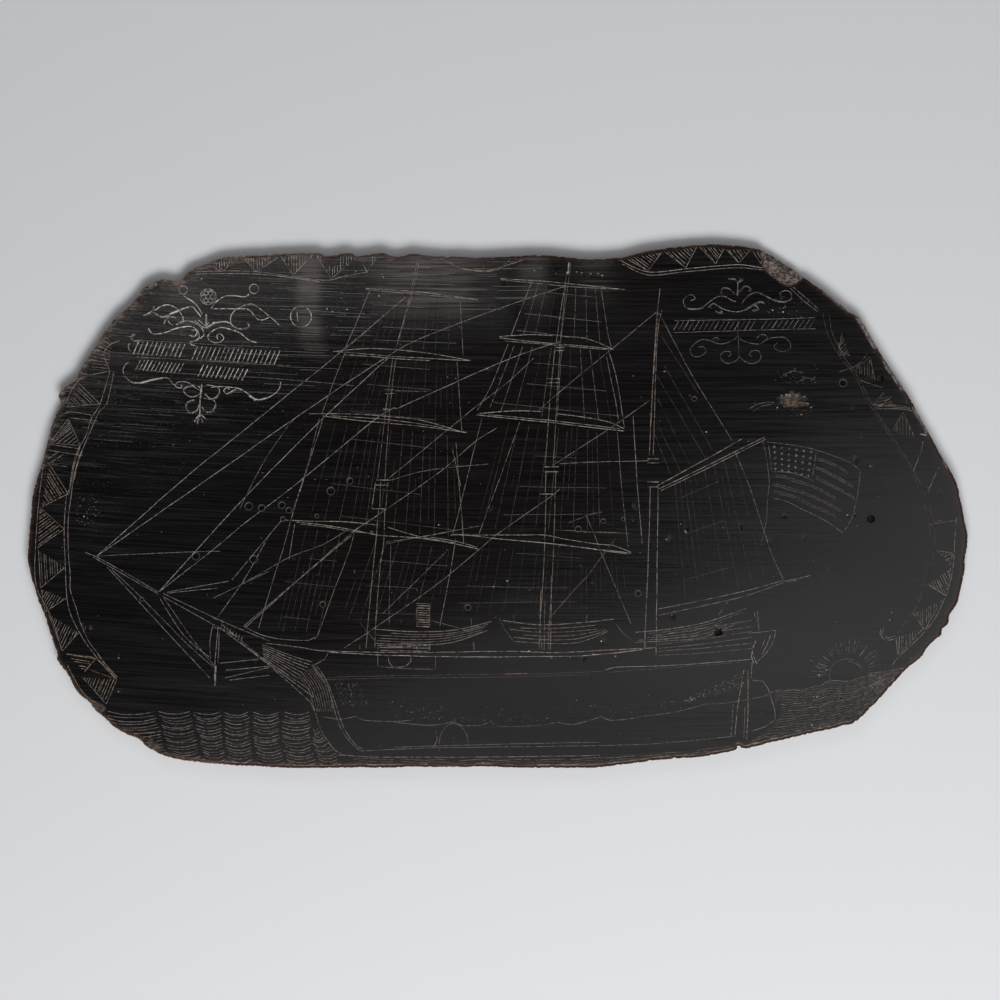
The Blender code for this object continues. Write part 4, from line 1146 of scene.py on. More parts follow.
def draw_border():
    engrave("border", *INNER_LINES, step=LINE_STEP)
    engrave("spar", *TOP_LINES, step=LINE_STEP)
    engrave("gold", *GOLD_LINES, step=FINE_STEP)
    engrave("tan", *TAN_LINES, step=FINE_STEP)
    engrave("faint", *FAINT_LINES, step=LINE_STEP)
    for start, end, count in LAYERS:
        for n in range(count):
            line = rim_stretch(start, end, (n + LAYER_INSET) * LAYER_PITCH)
            first = chance.randrange(3)
            engrave("layer", line[first:len(line) - chance.randrange(3)], step=LINE_STEP)
    hatch("hatch", "border", TRIANGLES)
    hatch("crest", "crest", TOP_TRIANGLES)
    hatch("gilt", "border", GILT_TRIANGLES)
    hatch("tan", "tan", TAN_TRIANGLES)
    engrave("thin", *RAYS)
    for *corners, count in EDGE_HATCHES:
        for n in range(count):
            share = n / (count - 1)
            engrave("hatch", (in_corners(corners, share, 0), in_corners(corners, share, 1)))


def draw_waves():
    """The columns of sagging waves at the left, as far as the bow."""
    for row in range(round((SEA_LEVELS[-1] - SEA_LEVELS[0]) / SEA_PITCH)):
        y = SEA_LEVELS[0] + row * SEA_PITCH
        ends = [float(np.interp(y, SEA_LEVELS, border)) for border in SEA_BORDERS]
        down = (y - BOW_LINE[0][1]) / (BOW_LINE[-1][1] - BOW_LINE[0][1])
        bow = on_path(BOW_LINE, min(1.0, max(0.0, down)))[0]
        for left, right in zip(ends, ends[1:]):
            start = left + chance.uniform(*SEA_START)
            end = min(right - chance.uniform(*SEA_END), bow - 1)
            if end - start < SEA_LEAST:
                continue
            level = y + swayed(SEA_SWAY)
            low = level + SEA_SAG + swayed(SEA_SWAY)
            rise = chance.uniform(*SEA_RISE)
            bends = [(start + (end - start) * share, low) for share in SEA_BENDS]
            path = ((start, level + rise), *bends, (end, level - 0.4))
            engrave("sea" if chance.random() < SEA_BOLD else "thin", path, step=6)


def draw_sea():
    draw_waves()
    for row in range(WAVE_ROWS):
        share = row / (WAVE_ROWS - 1)
        path = []
        for x in range(int(WAVE_TOP[0][0]), int(WAVE_TOP[-1][0]), LINE_STEP):
            y = (1 - share) * np.interp(x, *zip(*WAVE_TOP)) + share * np.interp(x, *zip(*WAVE_LOW))
            stern = np.interp(y, [p[1] for p in STERN_LINE], [p[0] for p in STERN_LINE])
            if x > stern + 1:
                swell = WAVE_HEIGHT * math.sin(2 * math.pi * x / WAVE_LENGTH + row * WAVE_TURN)
                path.append((x, y + swell + swayed(WAVE_SWAY)))
        engrave("swell" if row % 3 else "weave", path, step=LINE_STEP)
    for wide, high, first, last in SUN_ARCS:
        arc("thin", *SUN, wide, high, first, last)
    for n in range(RAY_COUNT):
        turn = math.radians(RAY_FIRST + RAY_SPAN * n / (RAY_COUNT - 1)) + swayed(RAY_SWAY)
        reach = chance.uniform(*RAY_OUTER)
        inner = RAY_INNER + chance.uniform(0, 3)
        ends = [(SUN[0] + r * math.cos(turn), SUN[1] + r * math.sin(turn)) for r in (inner, reach)]
        engrave("thin" if n % 3 else "seam", ends)


def engrave_speck(pen, x, y):
    engrave(pen, ((x, y), (x + chance.uniform(*SPECK_SIZES[pen]), y + swayed(SPECK_LEANS[pen]))))


def draw_wear():
    for x, y in SPECKS:
        engrave_speck("dot", x, y)
    for _ in range(RANDOM_SPECKS):
        x, y = chance.uniform(LEFT, RIGHT), chance.uniform(TOP, BOTTOM)
        engrave_speck("speck", x, y)
    left, top, right, bottom = SCRATCH_AREA
    for _ in range(SCRATCHES):
        x, y = chance.uniform(left, right), chance.uniform(top, bottom)
        if y > SCRATCH_FLOOR[0] - SCRATCH_FLOOR[1] * x:
            continue
        length = chance.uniform(*SCRATCH_LENGTH)
        lean = GRAIN_SINK * max(0.0, 1 - (x - LEFT) / GRAIN_REACH) + swayed(SCRATCH_SWAY)
        engrave("scratch", ((x, y), (x + length, y + length * lean)))


def draw_picture():
    draw_ship()
    draw_hull()
    draw_flag()
    draw_scrolls()
    draw_border()
    draw_sea()
    draw_wear()
    clip_strokes()


def in_polygon(points, polygon):
    """Which of the grid places lie inside a polygon."""
    inside = np.zeros(len(points), bool)
    for (ax, ay), (bx, by) in zip(polygon, np.roll(polygon, -1, 0), strict=True):
        if ay != by:
            crossing = (points[:, 1] > min(ay, by)) & (points[:, 1] <= max(ay, by))
            inside ^= crossing & (points[:, 0] < ax + (points[:, 1] - ay) / (by - ay) * (bx - ax))
    return inside


def torn_border(polygon):
    """A polygon's border with small steps and tears along it."""
    border = []
    for x, y in smooth_path(polygon, TEAR_STEP, closed=True):
        sway = noise.noise_vector(Vector((x * TEAR_PITCH, y * TEAR_PITCH, TEAR_SEED)))
        border.append((x + sway.x * TEAR, y + sway.y * TEAR))
    return border


def near_segments(points, segments):
    """For each segment: which points are near it, how far from it, and how far along it (0 to 1).

    A segment is its two ends' x and y and the reach within which points count as near.
    """
    order = np.argsort(points[:, 0])
    xs, ys = points[order, 0], points[order, 1]
    for ax, ay, bx, by, reach in segments:
        first, last = np.searchsorted(xs, (min(ax, bx) - reach, max(ax, bx) + reach))
        px, py = xs[first:last] - ax, ys[first:last] - ay
        dx, dy = bx - ax, by - ay
        along = np.clip((px * dx + py * dy) / max(dx * dx + dy * dy, 1e-12), 0, 1)
        yield order[first:last], np.hypot(px - along * dx, py - along * dy), along


def distance_inside(points, polygon, reach):
    """Distance of each grid place from a polygon's border within the reach, negative outside."""
    nearest = np.full(len(points), reach)
    segments = ((*a, *b, reach) for a, b in zip(polygon, polygon[1:] + polygon[:1], strict=True))
    for near, away, _ in near_segments(points, segments):
        nearest[near] = np.minimum(nearest[near], away)
    return np.where(in_polygon(points, polygon), nearest, -nearest)


def rim_distance(points):
    return distance_inside(points, RIM, RIM_REACH)


def polygon_share(points, polygon, soft):
    """1 inside the polygon, 0 outside, with a slope about soft wide inside its border."""
    return np.clip(distance_inside(points, polygon, soft) / soft, 0, 1)


def carve(points, segments):
    """For each grid place: depth of the strokes there in metres, and the number of the deepest or -1."""
    depth = np.zeros(len(points))
    owner = np.full(len(points), -1)
    ends = ((*segment[:4], max(segment[4:6])) for segment in segments)
    for segment, (near, away, along) in zip(segments, near_segments(points, ends), strict=True):
        half_a, half_b, ratio, number = segment[4:]
        here = (half_a + (half_b - half_a) * along - away) * ratio * GRID
        deeper = here > depth[near]
        depth[near[deeper]] = here[deeper]
        owner[near[deeper]] = number
    return depth, owner


def noise_at(points, pitch_x, pitch_y, seed):
    """Smooth noise from -1 to 1 at grid places."""
    return np.array([noise.noise(Vector((x * pitch_x, y * pitch_y, seed))) for x, y in points])


def pit_share(points):
    """1 in the middle of the worn hollow, 0 outside, with a torn border."""
    px = (points[:, 0] - PIT_CENTRE[0]) / PIT_REACH[0]
    py = (points[:, 1] - PIT_CENTRE[1]) / PIT_REACH[1]
    near = np.hypot(px, py) < 1.6
    torn = np.zeros(len(points))
    torn[near] = noise_at(points[near], *HOLLOW_BORDER_NOISE)
    return np.clip((1 - np.hypot(px, py) + 0.45 * torn) * 2.5, 0, 1) * near


def fall(place, flat, whole):
    return (np.maximum(np.abs(place) - flat / 2, 0) / (whole / 2 - flat / 2)) ** 2


def back_level(xy):
    """Height of the plain back at places in metres: a flat middle that falls away to the rim."""
    crown = HIGH.z - THICKNESS
    drop = fall(xy[:, 0], FLAT_LENGTH, HIGH.x - LOW.x) + fall(xy[:, 1], FLAT_HEIGHT, HIGH.y - LOW.y)
    return np.maximum(crown - RISE * drop, LOW.z)


def face_level(points, from_rim):
    """Height of the uncut face at grid places, with its swells, small waves and worn edge."""
    xy = to_metres(points)
    level = back_level(xy) + THICKNESS
    level += SWELL * (noise_at(xy, 1 / SWELL_PITCH, 1 / SWELL_PITCH, 2.0) - 0.6)
    across = (points[:, 0] - RIPPLE_CENTRE[0]) / RIPPLE_REACH[0]
    down = (points[:, 1] - RIPPLE_CENTRE[1]) / RIPPLE_REACH[1]
    level += RIPPLE * np.exp(-(across**2) - down**2) * np.sin(2 * math.pi * xy[:, 0] / RIPPLE_PITCH)
    rounding = np.clip(1 - from_rim / (EDGE_WIDTH / GRID), 0, 1) ** 2
    level -= EDGE_DROP * rounding * (1 + 0.5 * noise_at(points, *EDGE_NOISE))
    hem = np.clip(1 - from_rim / HEM_REACH, 0, 1)
    height = HEM_SLANT[0] - points[:, 1] - HEM_SLANT[1] * points[:, 0]
    hem *= HEM_LEAST + (1 - HEM_LEAST) * np.clip(height / HEM_SLANT[2], 0, 1)
    bumpy = np.nonzero(hem > 0)[0]
    level[bumpy] += HEM_BUMP * hem[bumpy] * noise_at(points[bumpy], *HEM_NOISE)
    return level


def near_end(end, beside):
    """The place near the end of a path where its stroke has the full width."""
    length = math.dist(end, beside)
    return between(end, beside, min(TIP, length * TIP_SHARE) / max(length, 1e-6))


def stroke_geometry():
    """The strokes' points and edges to triangulate, their segments to carve, and their colours."""
    points, edges, segments, colours = [], [], [], []
    for number, (pen, drawn) in enumerate(strokes):
        width, ratio, colour, strength = PENS[pen]
        tone = 1 + swayed(TONE_SPREAD)
        colours.append([channel * tone for channel in colour] + [strength])
        path = []
        for x, y in drawn:
            sway = noise.noise_vector(Vector((x * WOBBLE_PITCH, y * WOBBLE_PITCH, number * 0.37)))
            path.append((x + sway.x * WOBBLE, y + sway.y * WOBBLE))
        path.insert(1, near_end(path[0], path[1]))
        path.insert(-1, near_end(path[-1], path[-2]))
        halves = []
        for i in range(len(path)):
            swell = WIDTH_SHARE + WIDTH_SWELL * noise.noise(Vector((number * 1.7, i * 0.6, 5.0)))
            halves.append(0.0 if i in (0, len(path) - 1) else width / 2 / GRID * swell)
        add_stroke_outline(path, halves, points, edges)
        for i in range(len(path) - 1):
            segments.append((*path[i], *path[i + 1], halves[i], halves[i + 1], ratio, number))
    return points, edges, segments, np.array(colours)


def add_stroke_outline(path, halves, points, edges):
    """Adds a stroke's middle line and its two sides, which meet it at both tips."""
    base = len(points)
    count = len(path)
    points += path
    edges += [(base + i, base + i + 1) for i in range(count - 1)]
    for side in (-1, 1):
        first = len(points)
        for i in range(1, count - 1):
            across = sideways(path, i) * halves[i] * side
            points.append((path[i][0] + across.x, path[i][1] + across.y))
        chain = [base] + list(range(first, first + count - 2)) + [base + count - 1]
        edges += list(zip(chain, chain[1:]))


def clip_strokes():
    """Keeps of each stroke the longest stretch that lies inside the rim."""
    kept = []
    away = rim_distance(np.array([point for pen, path in strokes for point in path]))
    at = 0
    for pen, path in strokes:
        inside = away[at:at + len(path)] > (LAYER_MARGIN if pen == "layer" else STROKE_MARGIN)
        at += len(path)
        best, run = [], []
        for point, good in zip(path, inside, strict=True):
            run = run + [point] if good else []
            if len(run) > len(best):
                best = run
        if len(best) > 1:
            middle = best[len(best) // 2]
            if math.dist(best[0], best[-1]) + math.dist(best[0], middle) > SHORTEST:
                kept.append((pen, best))
    strokes[:] = kept


def circle_points(x, y, radius, count=BORE_POINTS):
    turns = [2 * math.pi * n / count for n in range(count)]
    return [(x + radius * math.cos(t), y + radius * math.sin(t)) for t in turns]


def add_loop(loop, points, edges):
    base = len(points)
    points += loop
    edges += [(base + i, base + (i + 1) % len(loop)) for i in range(len(loop))]


def loose_grid(left, top, right, bottom, step, sway, scatter):
    """Points about a step apart over a field, each second row shifted by half a step."""
    grid = []
    for row in range(int((bottom - top) / step) + 1):
        for column in range(int((right - left) / step) + 1):
            x = left + (column + 0.5 * (row % 2) + scatter.uniform(-sway, sway)) * step
            grid.append((x, top + (row + scatter.uniform(-sway, sway)) * step))
    return np.array(grid)


def filler_points(taken):
    """Points between the strokes: a loose grid over the whole face, and finer ones where it is torn."""
    tree = kdtree.KDTree(len(taken))
    for i, (x, y) in enumerate(taken):
        tree.insert((x, y, 0), i)
    tree.balance()
    scatter = random.Random(STROKE_SEED + 1)
    whole = (LEFT, TOP, RIGHT, BOTTOM)
    x, y = PIT_CENTRE
    wide, high = (reach * PIT_BOX for reach in PIT_REACH)
    # Each area: its field, step, least and greatest distance from the rim, and the polygon that it keeps to
    areas = [
        (whole, FILL_STEP, FILL_MARGIN, math.inf, None),
        (whole, HEM_STEP, 0.5, HEM_REACH, None),
        (CHIP_BOX, FIBRE_STEP, 0.5, math.inf, CHIP),
        ((x - wide, y - high, x + wide, y + high), FIBRE_STEP, 0.5, math.inf, None),
    ]
    for split in SPLITS:
        xs, ys = zip(*split)
        areas.append(((min(xs), min(ys), max(xs), max(ys)), SPLIT_STEP, 0.4, math.inf, split))
    made = []
    for box, step, least, most, polygon in areas:
        grid = loose_grid(*box, step, 0.25, scatter)
        away = rim_distance(grid)
        good = (away > least) & (away < most)
        if polygon:
            good &= in_polygon(grid, polygon)
        made += [(x, y) for x, y in grid[good] if tree.find((x, y, 0))[2] > min(1.4, step * 0.45)]
    return made


def triangulate(points, edges, scale=1, track=False):
    """Places, triangles, their middles, and for each place the numbers of the points it comes from."""
    flat = [Vector(point) * scale for point in points]
    made, _, faces, origins, _, _ = delaunay_2d_cdt(flat, edges, [], 1, EPSILON, track)
    places = np.array([tuple(place) for place in made])
    faces = np.array([tuple(face) for face in faces])
    return places, faces, places[faces].mean(1), origins


def front_mesh(points, edges):
    """The front's places and triangles, cut to the rim and to the bores."""
    places, faces, middles, _ = triangulate(points + filler_points(points), edges)
    keep = in_polygon(middles, RIM)
    for bore in BORES:
        keep &= ~in_polygon(middles, circle_points(*bore))
    faces, middles = faces[keep], middles[keep]
    used = np.unique(faces)
    renumber = np.full(len(places), -1)
    renumber[used] = np.arange(len(used))
    return places[used], renumber[faces], middles


def front_sheet():
    """The front face: places on the grid, triangles, heights, stroke colours by face, and wear by vertex."""
    points, edges, segments, colours = stroke_geometry()
    add_loop(RIM, points, edges)
    for holes, offsets in ((BORES, (0, BORE_BEVEL)), (PITS, (0, -PIT_SLOPE, PIT_BORDER))):
        for x, y, radius in holes:
            for offset in offsets:
                add_loop(circle_points(x, y, radius + offset), points, edges)
    chip_border = torn_border(CHIP)
    split_borders = [torn_border(split) for split in SPLITS]
    for border in (chip_border, *split_borders):
        add_loop(border, points, edges)
    places, faces, middles = front_mesh(points, edges)

    from_rim = np.maximum(rim_distance(places), 0)
    level = face_level(places, from_rim)
    carved, _ = carve(places, segments)
    fibre = polygon_share(places, chip_border, CHIP_SOFT)
    torn = noise_at(places, *TEAR_NOISE)
    level -= CHIP_DEPTH * fibre * (1 + 0.25 * torn)
    for border in split_borders:
        share = polygon_share(places, border, SPLIT_SOFT)
        level -= SPLIT_DEPTH * share * (1 + 0.3 * torn)
        fibre = np.maximum(fibre, share * SPLIT_FIBRE)
    pit = pit_share(places)
    level -= PIT_DEPTH * pit * (1 + 0.5 * noise_at(places, *HOLLOW_NOISE))
    fibre = np.maximum(fibre, pit)
    bore = np.zeros(len(places))
    pale = np.zeros(len(places))
    for x, y, radius in BORES:
        beyond = radius + BORE_BEVEL - np.hypot(places[:, 0] - x, places[:, 1] - y)
        level -= BORE_SINK * np.clip(beyond / BORE_BEVEL, 0, 1)
        bore = np.maximum(bore, np.clip(beyond, 0, 1))
    for x, y, radius in PITS:
        away = np.hypot(places[:, 0] - x, places[:, 1] - y)
        share = np.clip((radius - away) / PIT_SLOPE, 0, 1)
        carved = np.maximum(carved, PIT_BOTTOM * share)
        bore = np.maximum(bore, share)
        pale = np.maximum(pale, np.clip(1 - np.abs(away - radius) / PALE_REACH, 0, 1) * (share < 0.5))
    _, owners = carve(middles, segments)
    inlay = np.zeros((len(faces), 4))
    drawn = owners >= 0
    inlay[drawn] = colours[owners[drawn]]
    wear = np.stack([np.exp(-from_rim / HEM_FADE), fibre, bore, pale], 1)
    return places, faces, level - carved, inlay, wear


def boundary_loops(faces):
    """The closed loops of vertices along the open border of a triangle mesh."""
    following = {}
    directed = {(a, b) for face in faces.tolist() for a, b in zip(face, face[1:] + face[:1])}
    for a, b in sorted(directed):
        if (b, a) not in directed:
            following[a] = b
    loops = []
    while following:
        start = next(iter(following))
        loop = [start]
        after = following.pop(start)
        while after != start:
            loop.append(after)
            after = following.pop(after)
        loops.append(loop)
    return sorted(loops, key=len, reverse=True)


def smoothed_normals(loop):
    """Unit vectors to the right of the way round a closed loop."""
    ahead = np.roll(loop, -3, 0) - np.roll(loop, 3, 0)
    normal = np.stack([ahead[:, 1], -ahead[:, 0]], 1)
    return normal / np.maximum(np.linalg.norm(normal, axis=1, keepdims=True), 1e-9)


class PanelMesh:
    """Collects the panel's vertices and faces, each face with its map corners, filling and wear."""

    def __init__(self):
        self.vertices = []
        self.wear = []
        self.faces = []
        self.corners = []
        self.inlay = []

    def add_vertices(self, places, wear):
        first = len(self.vertices)
        self.vertices += [tuple(place) for place in places]
        self.wear += [tuple(row) for row in wear]
        return first

    def add_face(self, face, corners, inlay=(0, 0, 0, 0)):
        self.faces.append(tuple(int(i) for i in face))
        self.corners += corners
        self.inlay += [tuple(inlay)] * len(face)


def front_map(xy):
    scale = 1 / (HIGH.x - LOW.x)
    return [
        (MAP_MARGIN + (x - LOW.x) * scale * FRONT_SHARE, MAP_MARGIN + (y - LOW.y) * scale * FRONT_SHARE)
        for x, y in xy
    ]


def back_map(xy):
    scale = BACK_SHARE / (HIGH.x - LOW.x)
    return [(MAP_MARGIN + (HIGH.x - x) * scale, BACK_FLOOR + (y - LOW.y) * scale) for x, y in xy]


def wall_corners(start, end, top, bottom, row_length, row_base, rows):
    """Map corners of one piece of wall, whose strip is folded into rows."""
    row = min(int(start / row_length), rows - 1)
    left = WALL_LEFT + (start / row_length - row) * WALL_WIDTH
    right = WALL_LEFT + min(1.0, end / row_length - row) * WALL_WIDTH
    base = BACK_FLOOR + (row_base + row) * WALL_PITCH
    high, low = (base + (1 - share) * WALL_PITCH * WALL_FILL for share in (top, bottom))
    return [(right, high), (left, high), (left, low), (right, low)]


def add_wall(mesh, loop, ring_levels, row_base, rows):
    """Quads down from a loop of the front through the levels given; each is (first vertex, share down)."""
    count = len(loop)
    places = np.array([mesh.vertices[i][:2] for i in loop])
    steps = np.linalg.norm(np.roll(places, -1, 0) - places, axis=1)
    along = np.concatenate([[0], np.cumsum(steps)])
    upper, top = list(loop), 0.0
    for first, share in ring_levels:
        lower = list(range(first, first + count))
        for i in range(count):
            j = (i + 1) % count
            corners = wall_corners(along[i], along[i + 1], top, share, along[-1] / rows, row_base, rows)
            mesh.add_face((upper[j], upper[i], lower[i], lower[j]), corners)
        upper, top = lower, share
    return upper


def build_panel_mesh():
    """The whole panel: the front, a wall down from each of its borders, and the back between them."""
    places, faces, level, inlay, wear = front_sheet()
    xy = to_metres(places)
    faces = faces[:, ::-1]  # the grid's y runs down, so that the faces turn the other way round in metres
    mesh = PanelMesh()
    mesh.add_vertices(np.column_stack([xy, level]), wear)
    spots = front_map(xy)
    for face, colour in zip(faces, inlay, strict=True):
        mesh.add_face(face, [spots[i] for i in face], colour)

    back_loops = []
    for number, loop in enumerate(boundary_loops(faces)):
        outline = xy[loop]
        floor = back_level(outline)
        top = level[loop]
        is_rim = number == 0
        inward = -smoothed_normals(outline) if is_rim else np.zeros_like(outline)
        levels = []
        for share, inset in WALL if is_rim else BORE_WALL:
            offset = np.full(len(loop), inset)
            if is_rim and share < 1:
                rough = noise_at(outline, WALL_ROUGHNESS, WALL_ROUGHNESS, share * 40)
                offset = np.maximum(0, inset + WALL_NOISE * rough)
            moved = outline + inward * offset[:, None]
            heights = top + (floor - top) * share
            worn = np.tile(RIM_WEAR if is_rim else BORE_WEAR, (len(loop), 1))
            levels.append((mesh.add_vertices(np.column_stack([moved, heights]), worn), share))
        row_base, rows = (0, RIM_ROWS) if is_rim else (WALL_ROWS - number, 1)
        back_loops.append(add_wall(mesh, loop, levels, row_base, rows))
    add_back(mesh, back_loops)
    return mesh


def add_back(mesh, loops):
    """The plain back, triangulated between the last levels of the walls."""
    points, edges, owners = [], [], []
    for loop in loops:
        add_loop([mesh.vertices[i][:2] for i in loop], points, edges)
        owners += loop
    fixed = len(points)
    grid = loose_grid(LOW.x, LOW.y, HIGH.x, HIGH.y, BACK_STEP * GRID, 0.2, random.Random(STROKE_SEED + 2))
    points += grid[rim_distance(to_grid(grid)) > BACK_MARGIN].tolist()
    made, faces, middles, origins = triangulate(points, edges, BACK_SCALE, True)
    numbers = {}
    for i, place in enumerate(made):
        source = [k for k in origins[i] if k < fixed]
        if source:
            numbers[i] = owners[source[0]]
        else:
            xy = place[None, :] / BACK_SCALE
            swell = noise_at(xy, 1 / SWELL_PITCH, 1 / SWELL_PITCH, 6.0)
            height = max(LOW.z, float(back_level(xy)[0] + SWELL * 0.5 * swell[0]))
            numbers[i] = mesh.add_vertices([(*xy[0], height)], [(0, 0, 0, 0)])
    keep = np.ones(len(faces), bool)
    for number, loop in enumerate(loops):
        inside = in_polygon(middles / BACK_SCALE, [mesh.vertices[i][:2] for i in loop])
        keep &= inside if number == 0 else ~inside
    for face in faces[keep]:
        mine = [numbers[i] for i in face]
        (ax, ay), (bx, by), (cx, cy) = (mesh.vertices[i][:2] for i in mine)
        if (bx - ax) * (cy - ay) - (by - ay) * (cx - ax) > 0:
            mine.reverse()
        mesh.add_face(mine, back_map([mesh.vertices[i][:2] for i in mine]))


def add_attribute(data, name, domain, values):
    made = data.attributes.new(name, "FLOAT_COLOR", domain)
    made.data.foreach_set("color", np.array(values, np.float32).ravel())


def make_panel():
    draw_picture()
    made = build_panel_mesh()
    data = bpy.data.meshes.new("engraved_panel")
    data.from_pydata(made.vertices, [], made.faces)
    layer = data.uv_layers.new(name="OFBake")
    layer.data.foreach_set("uv", np.array(made.corners, np.float32).ravel())
    add_attribute(data, "inlay", "CORNER", made.inlay)
    add_attribute(data, "wear", "POINT", made.wear)
    data.shade_smooth()
    data.set_sharp_from_angle(angle=SHARP)

    # The edges between the strokes and the face are sharp too
    cut = np.array(made.inlay)[:, 3] > 0
    edge_of_corner = np.empty(len(data.loops), int)
    data.loops.foreach_get("edge_index", edge_of_corner)
    uses = np.bincount(edge_of_corner, weights=cut, minlength=len(data.edges))
    sharp = np.empty(len(data.edges), bool)
    data.attributes["sharp_edge"].data.foreach_get("value", sharp)
    data.attributes["sharp_edge"].data.foreach_set("value", sharp | (uses == 1))
    data.update()
    panel = bpy.data.objects.new("engraved_panel", data)
    bpy.context.scene.collection.objects.link(panel)
    print("panel:", len(strokes), "strokes,", len(data.vertices), "vertices,", len(data.polygons), "faces")
    return panel


class Paint:
    """Makes a material's nodes. A socket is given a number, a colour or the output of another node."""

    def __init__(self, tree):
        self.tree = tree
        self.sources = {}
        self.colours = dict(COLOURS)

    def add(self, kind, inputs=None, **settings):
        made = self.tree.nodes.new(kind)
        for name, value in settings.items():
            setattr(made, name, value)
        for socket, value in (inputs or {}).items():
            if isinstance(value, bpy.types.NodeSocket):
                self.tree.links.new(value, made.inputs[socket])
            else:
                made.inputs[socket].default_value = value
        return made

    def calc(self, operation, first, second):
        return self.add("ShaderNodeMath", {0: first, 1: second}, operation=operation).outputs[0]

    def times(self, first, second):
        return self.calc("MULTIPLY", first, second)

    def mix(self, factor, first, second):
        first, second = (self.colours[item] if isinstance(item, str) else item for item in (first, second))
        return self.add("ShaderNodeMix", {0: factor, 6: first, 7: second}, data_type="RGBA").outputs[2]

    def ramp(self, source, low, high, to_low=0.0, to_high=1.0):
        value = self.sources[source] if isinstance(source, str) else source
        inputs = {"Value": value, "From Min": low, "From Max": high, "To Min": to_low, "To Max": to_high}
        return self.add("ShaderNodeMapRange", inputs, interpolation_type="SMOOTHSTEP").outputs["Result"]

    def mask(self, *parts):
        """The product of ramps, of plain sources and of numbers."""
        values = []
        for part in parts:
            if isinstance(part, float):
                values.append(part)
            else:
                values.append(self.ramp(*part) if len(part) > 1 else self.sources[part[0]])
        product = values[0]
        for value in values[1:]:
            product = self.times(product, value)
        return product

    def streaks(self, place, scale, detail, roughness):
        """Noise drawn out along an axis: scale is how many features a metre holds on each of them."""
        mapped = self.add("ShaderNodeMapping", {"Vector": place, "Scale": scale}).outputs[0]
        inputs = {"Vector": mapped, "Scale": 1.0, "Detail": detail, "Roughness": roughness}
        return self.add("ShaderNodeTexNoise", inputs).outputs["Fac"]


def add_sources(paint):
    """Everything that the layers' masks are made of: the places, the noises and the mesh's wear."""
    sources = paint.sources
    place = paint.add("ShaderNodeTexCoord").outputs["Object"]
    xyz = paint.add("ShaderNodeSeparateXYZ", {"Vector": place}).outputs
    x, y = xyz["X"], xyz["Y"]
    wear = paint.add("ShaderNodeAttribute", attribute_name="wear").outputs
    worn = paint.add("ShaderNodeSeparateColor", {"Color": wear["Color"]}).outputs
    slant = paint.calc("SUBTRACT", y, paint.times(x, 0.5))
    sources.update(x=x, y=y, slant=slant, rim=worn[0], fibre=worn[1], bore=worn[2], pale=wear["Alpha"])

    # The grain sinks towards the right in the left half and runs level in the right one
    left_half = paint.calc("MINIMUM", x, 0.0)
    sink = paint.times(paint.times(left_half, left_half), GRAIN_BEND)
    bent = {"X": x, "Y": paint.calc("SUBTRACT", y, sink), "Z": xyz["Z"]}
    grained = paint.add("ShaderNodeCombineXYZ", bent).outputs[0]
    for noises, start in ((GRAIN_NOISES, grained), (PLAIN_NOISES, place)):
        for name, values in noises.items():
            sources[name] = paint.streaks(start, *values)
    for name, power in RIM_POWERS.items():
        sources[name] = paint.calc("POWER", sources["rim"], power)
    for name, parts in MASKS.items():
        sources[name] = paint.mask(*parts)

    # The upright bands of painted sheen wander a little from side to side
    sway = paint.times(paint.calc("SUBTRACT", sources["cloud"], 0.5), SHEEN_BAND_SWAY)
    wandering = paint.calc("ADD", x, sway)
    ripple = 0.0
    for left, right, foot, strength in PAINTED_SHEEN_BANDS:
        soft = (right - left) * SHEEN_BAND_SOFT
        band = paint.mask(
            (wandering, left - soft, left + soft), (wandering, right + soft, right - soft),
            ("y", foot + SHEEN_BAND_FADE[0], foot + SHEEN_BAND_FADE[1], 0.0, strength),
        )
        ripple = paint.calc("MAXIMUM", ripple, band)
    sources["ripple"] = ripple


def mix_colours(paint):
    """The colours that are themselves mixed from others."""
    colours = paint.colours
    colours["hem"] = paint.mix(paint.ramp("ply", 0.42, 0.60), "dark hem", "pale hem")
    colours["edge"] = paint.mix(paint.sources["corner"], "red edge", "pale edge")
    colours["edge"] = paint.mix(paint.sources["low left"], "edge", "golden edge")
    colours["tear"] = paint.mix(paint.sources["hollow"], "pink tear", "ochre tear")
    colours["tear"] = paint.mix(paint.ramp("crumb", 0.40, 0.60), "deep tear", "tear")
    colours["tear"] = paint.mix(paint.ramp("worn", 0.45, 0.62, 0.0, 0.80), "tear", "worn tear")


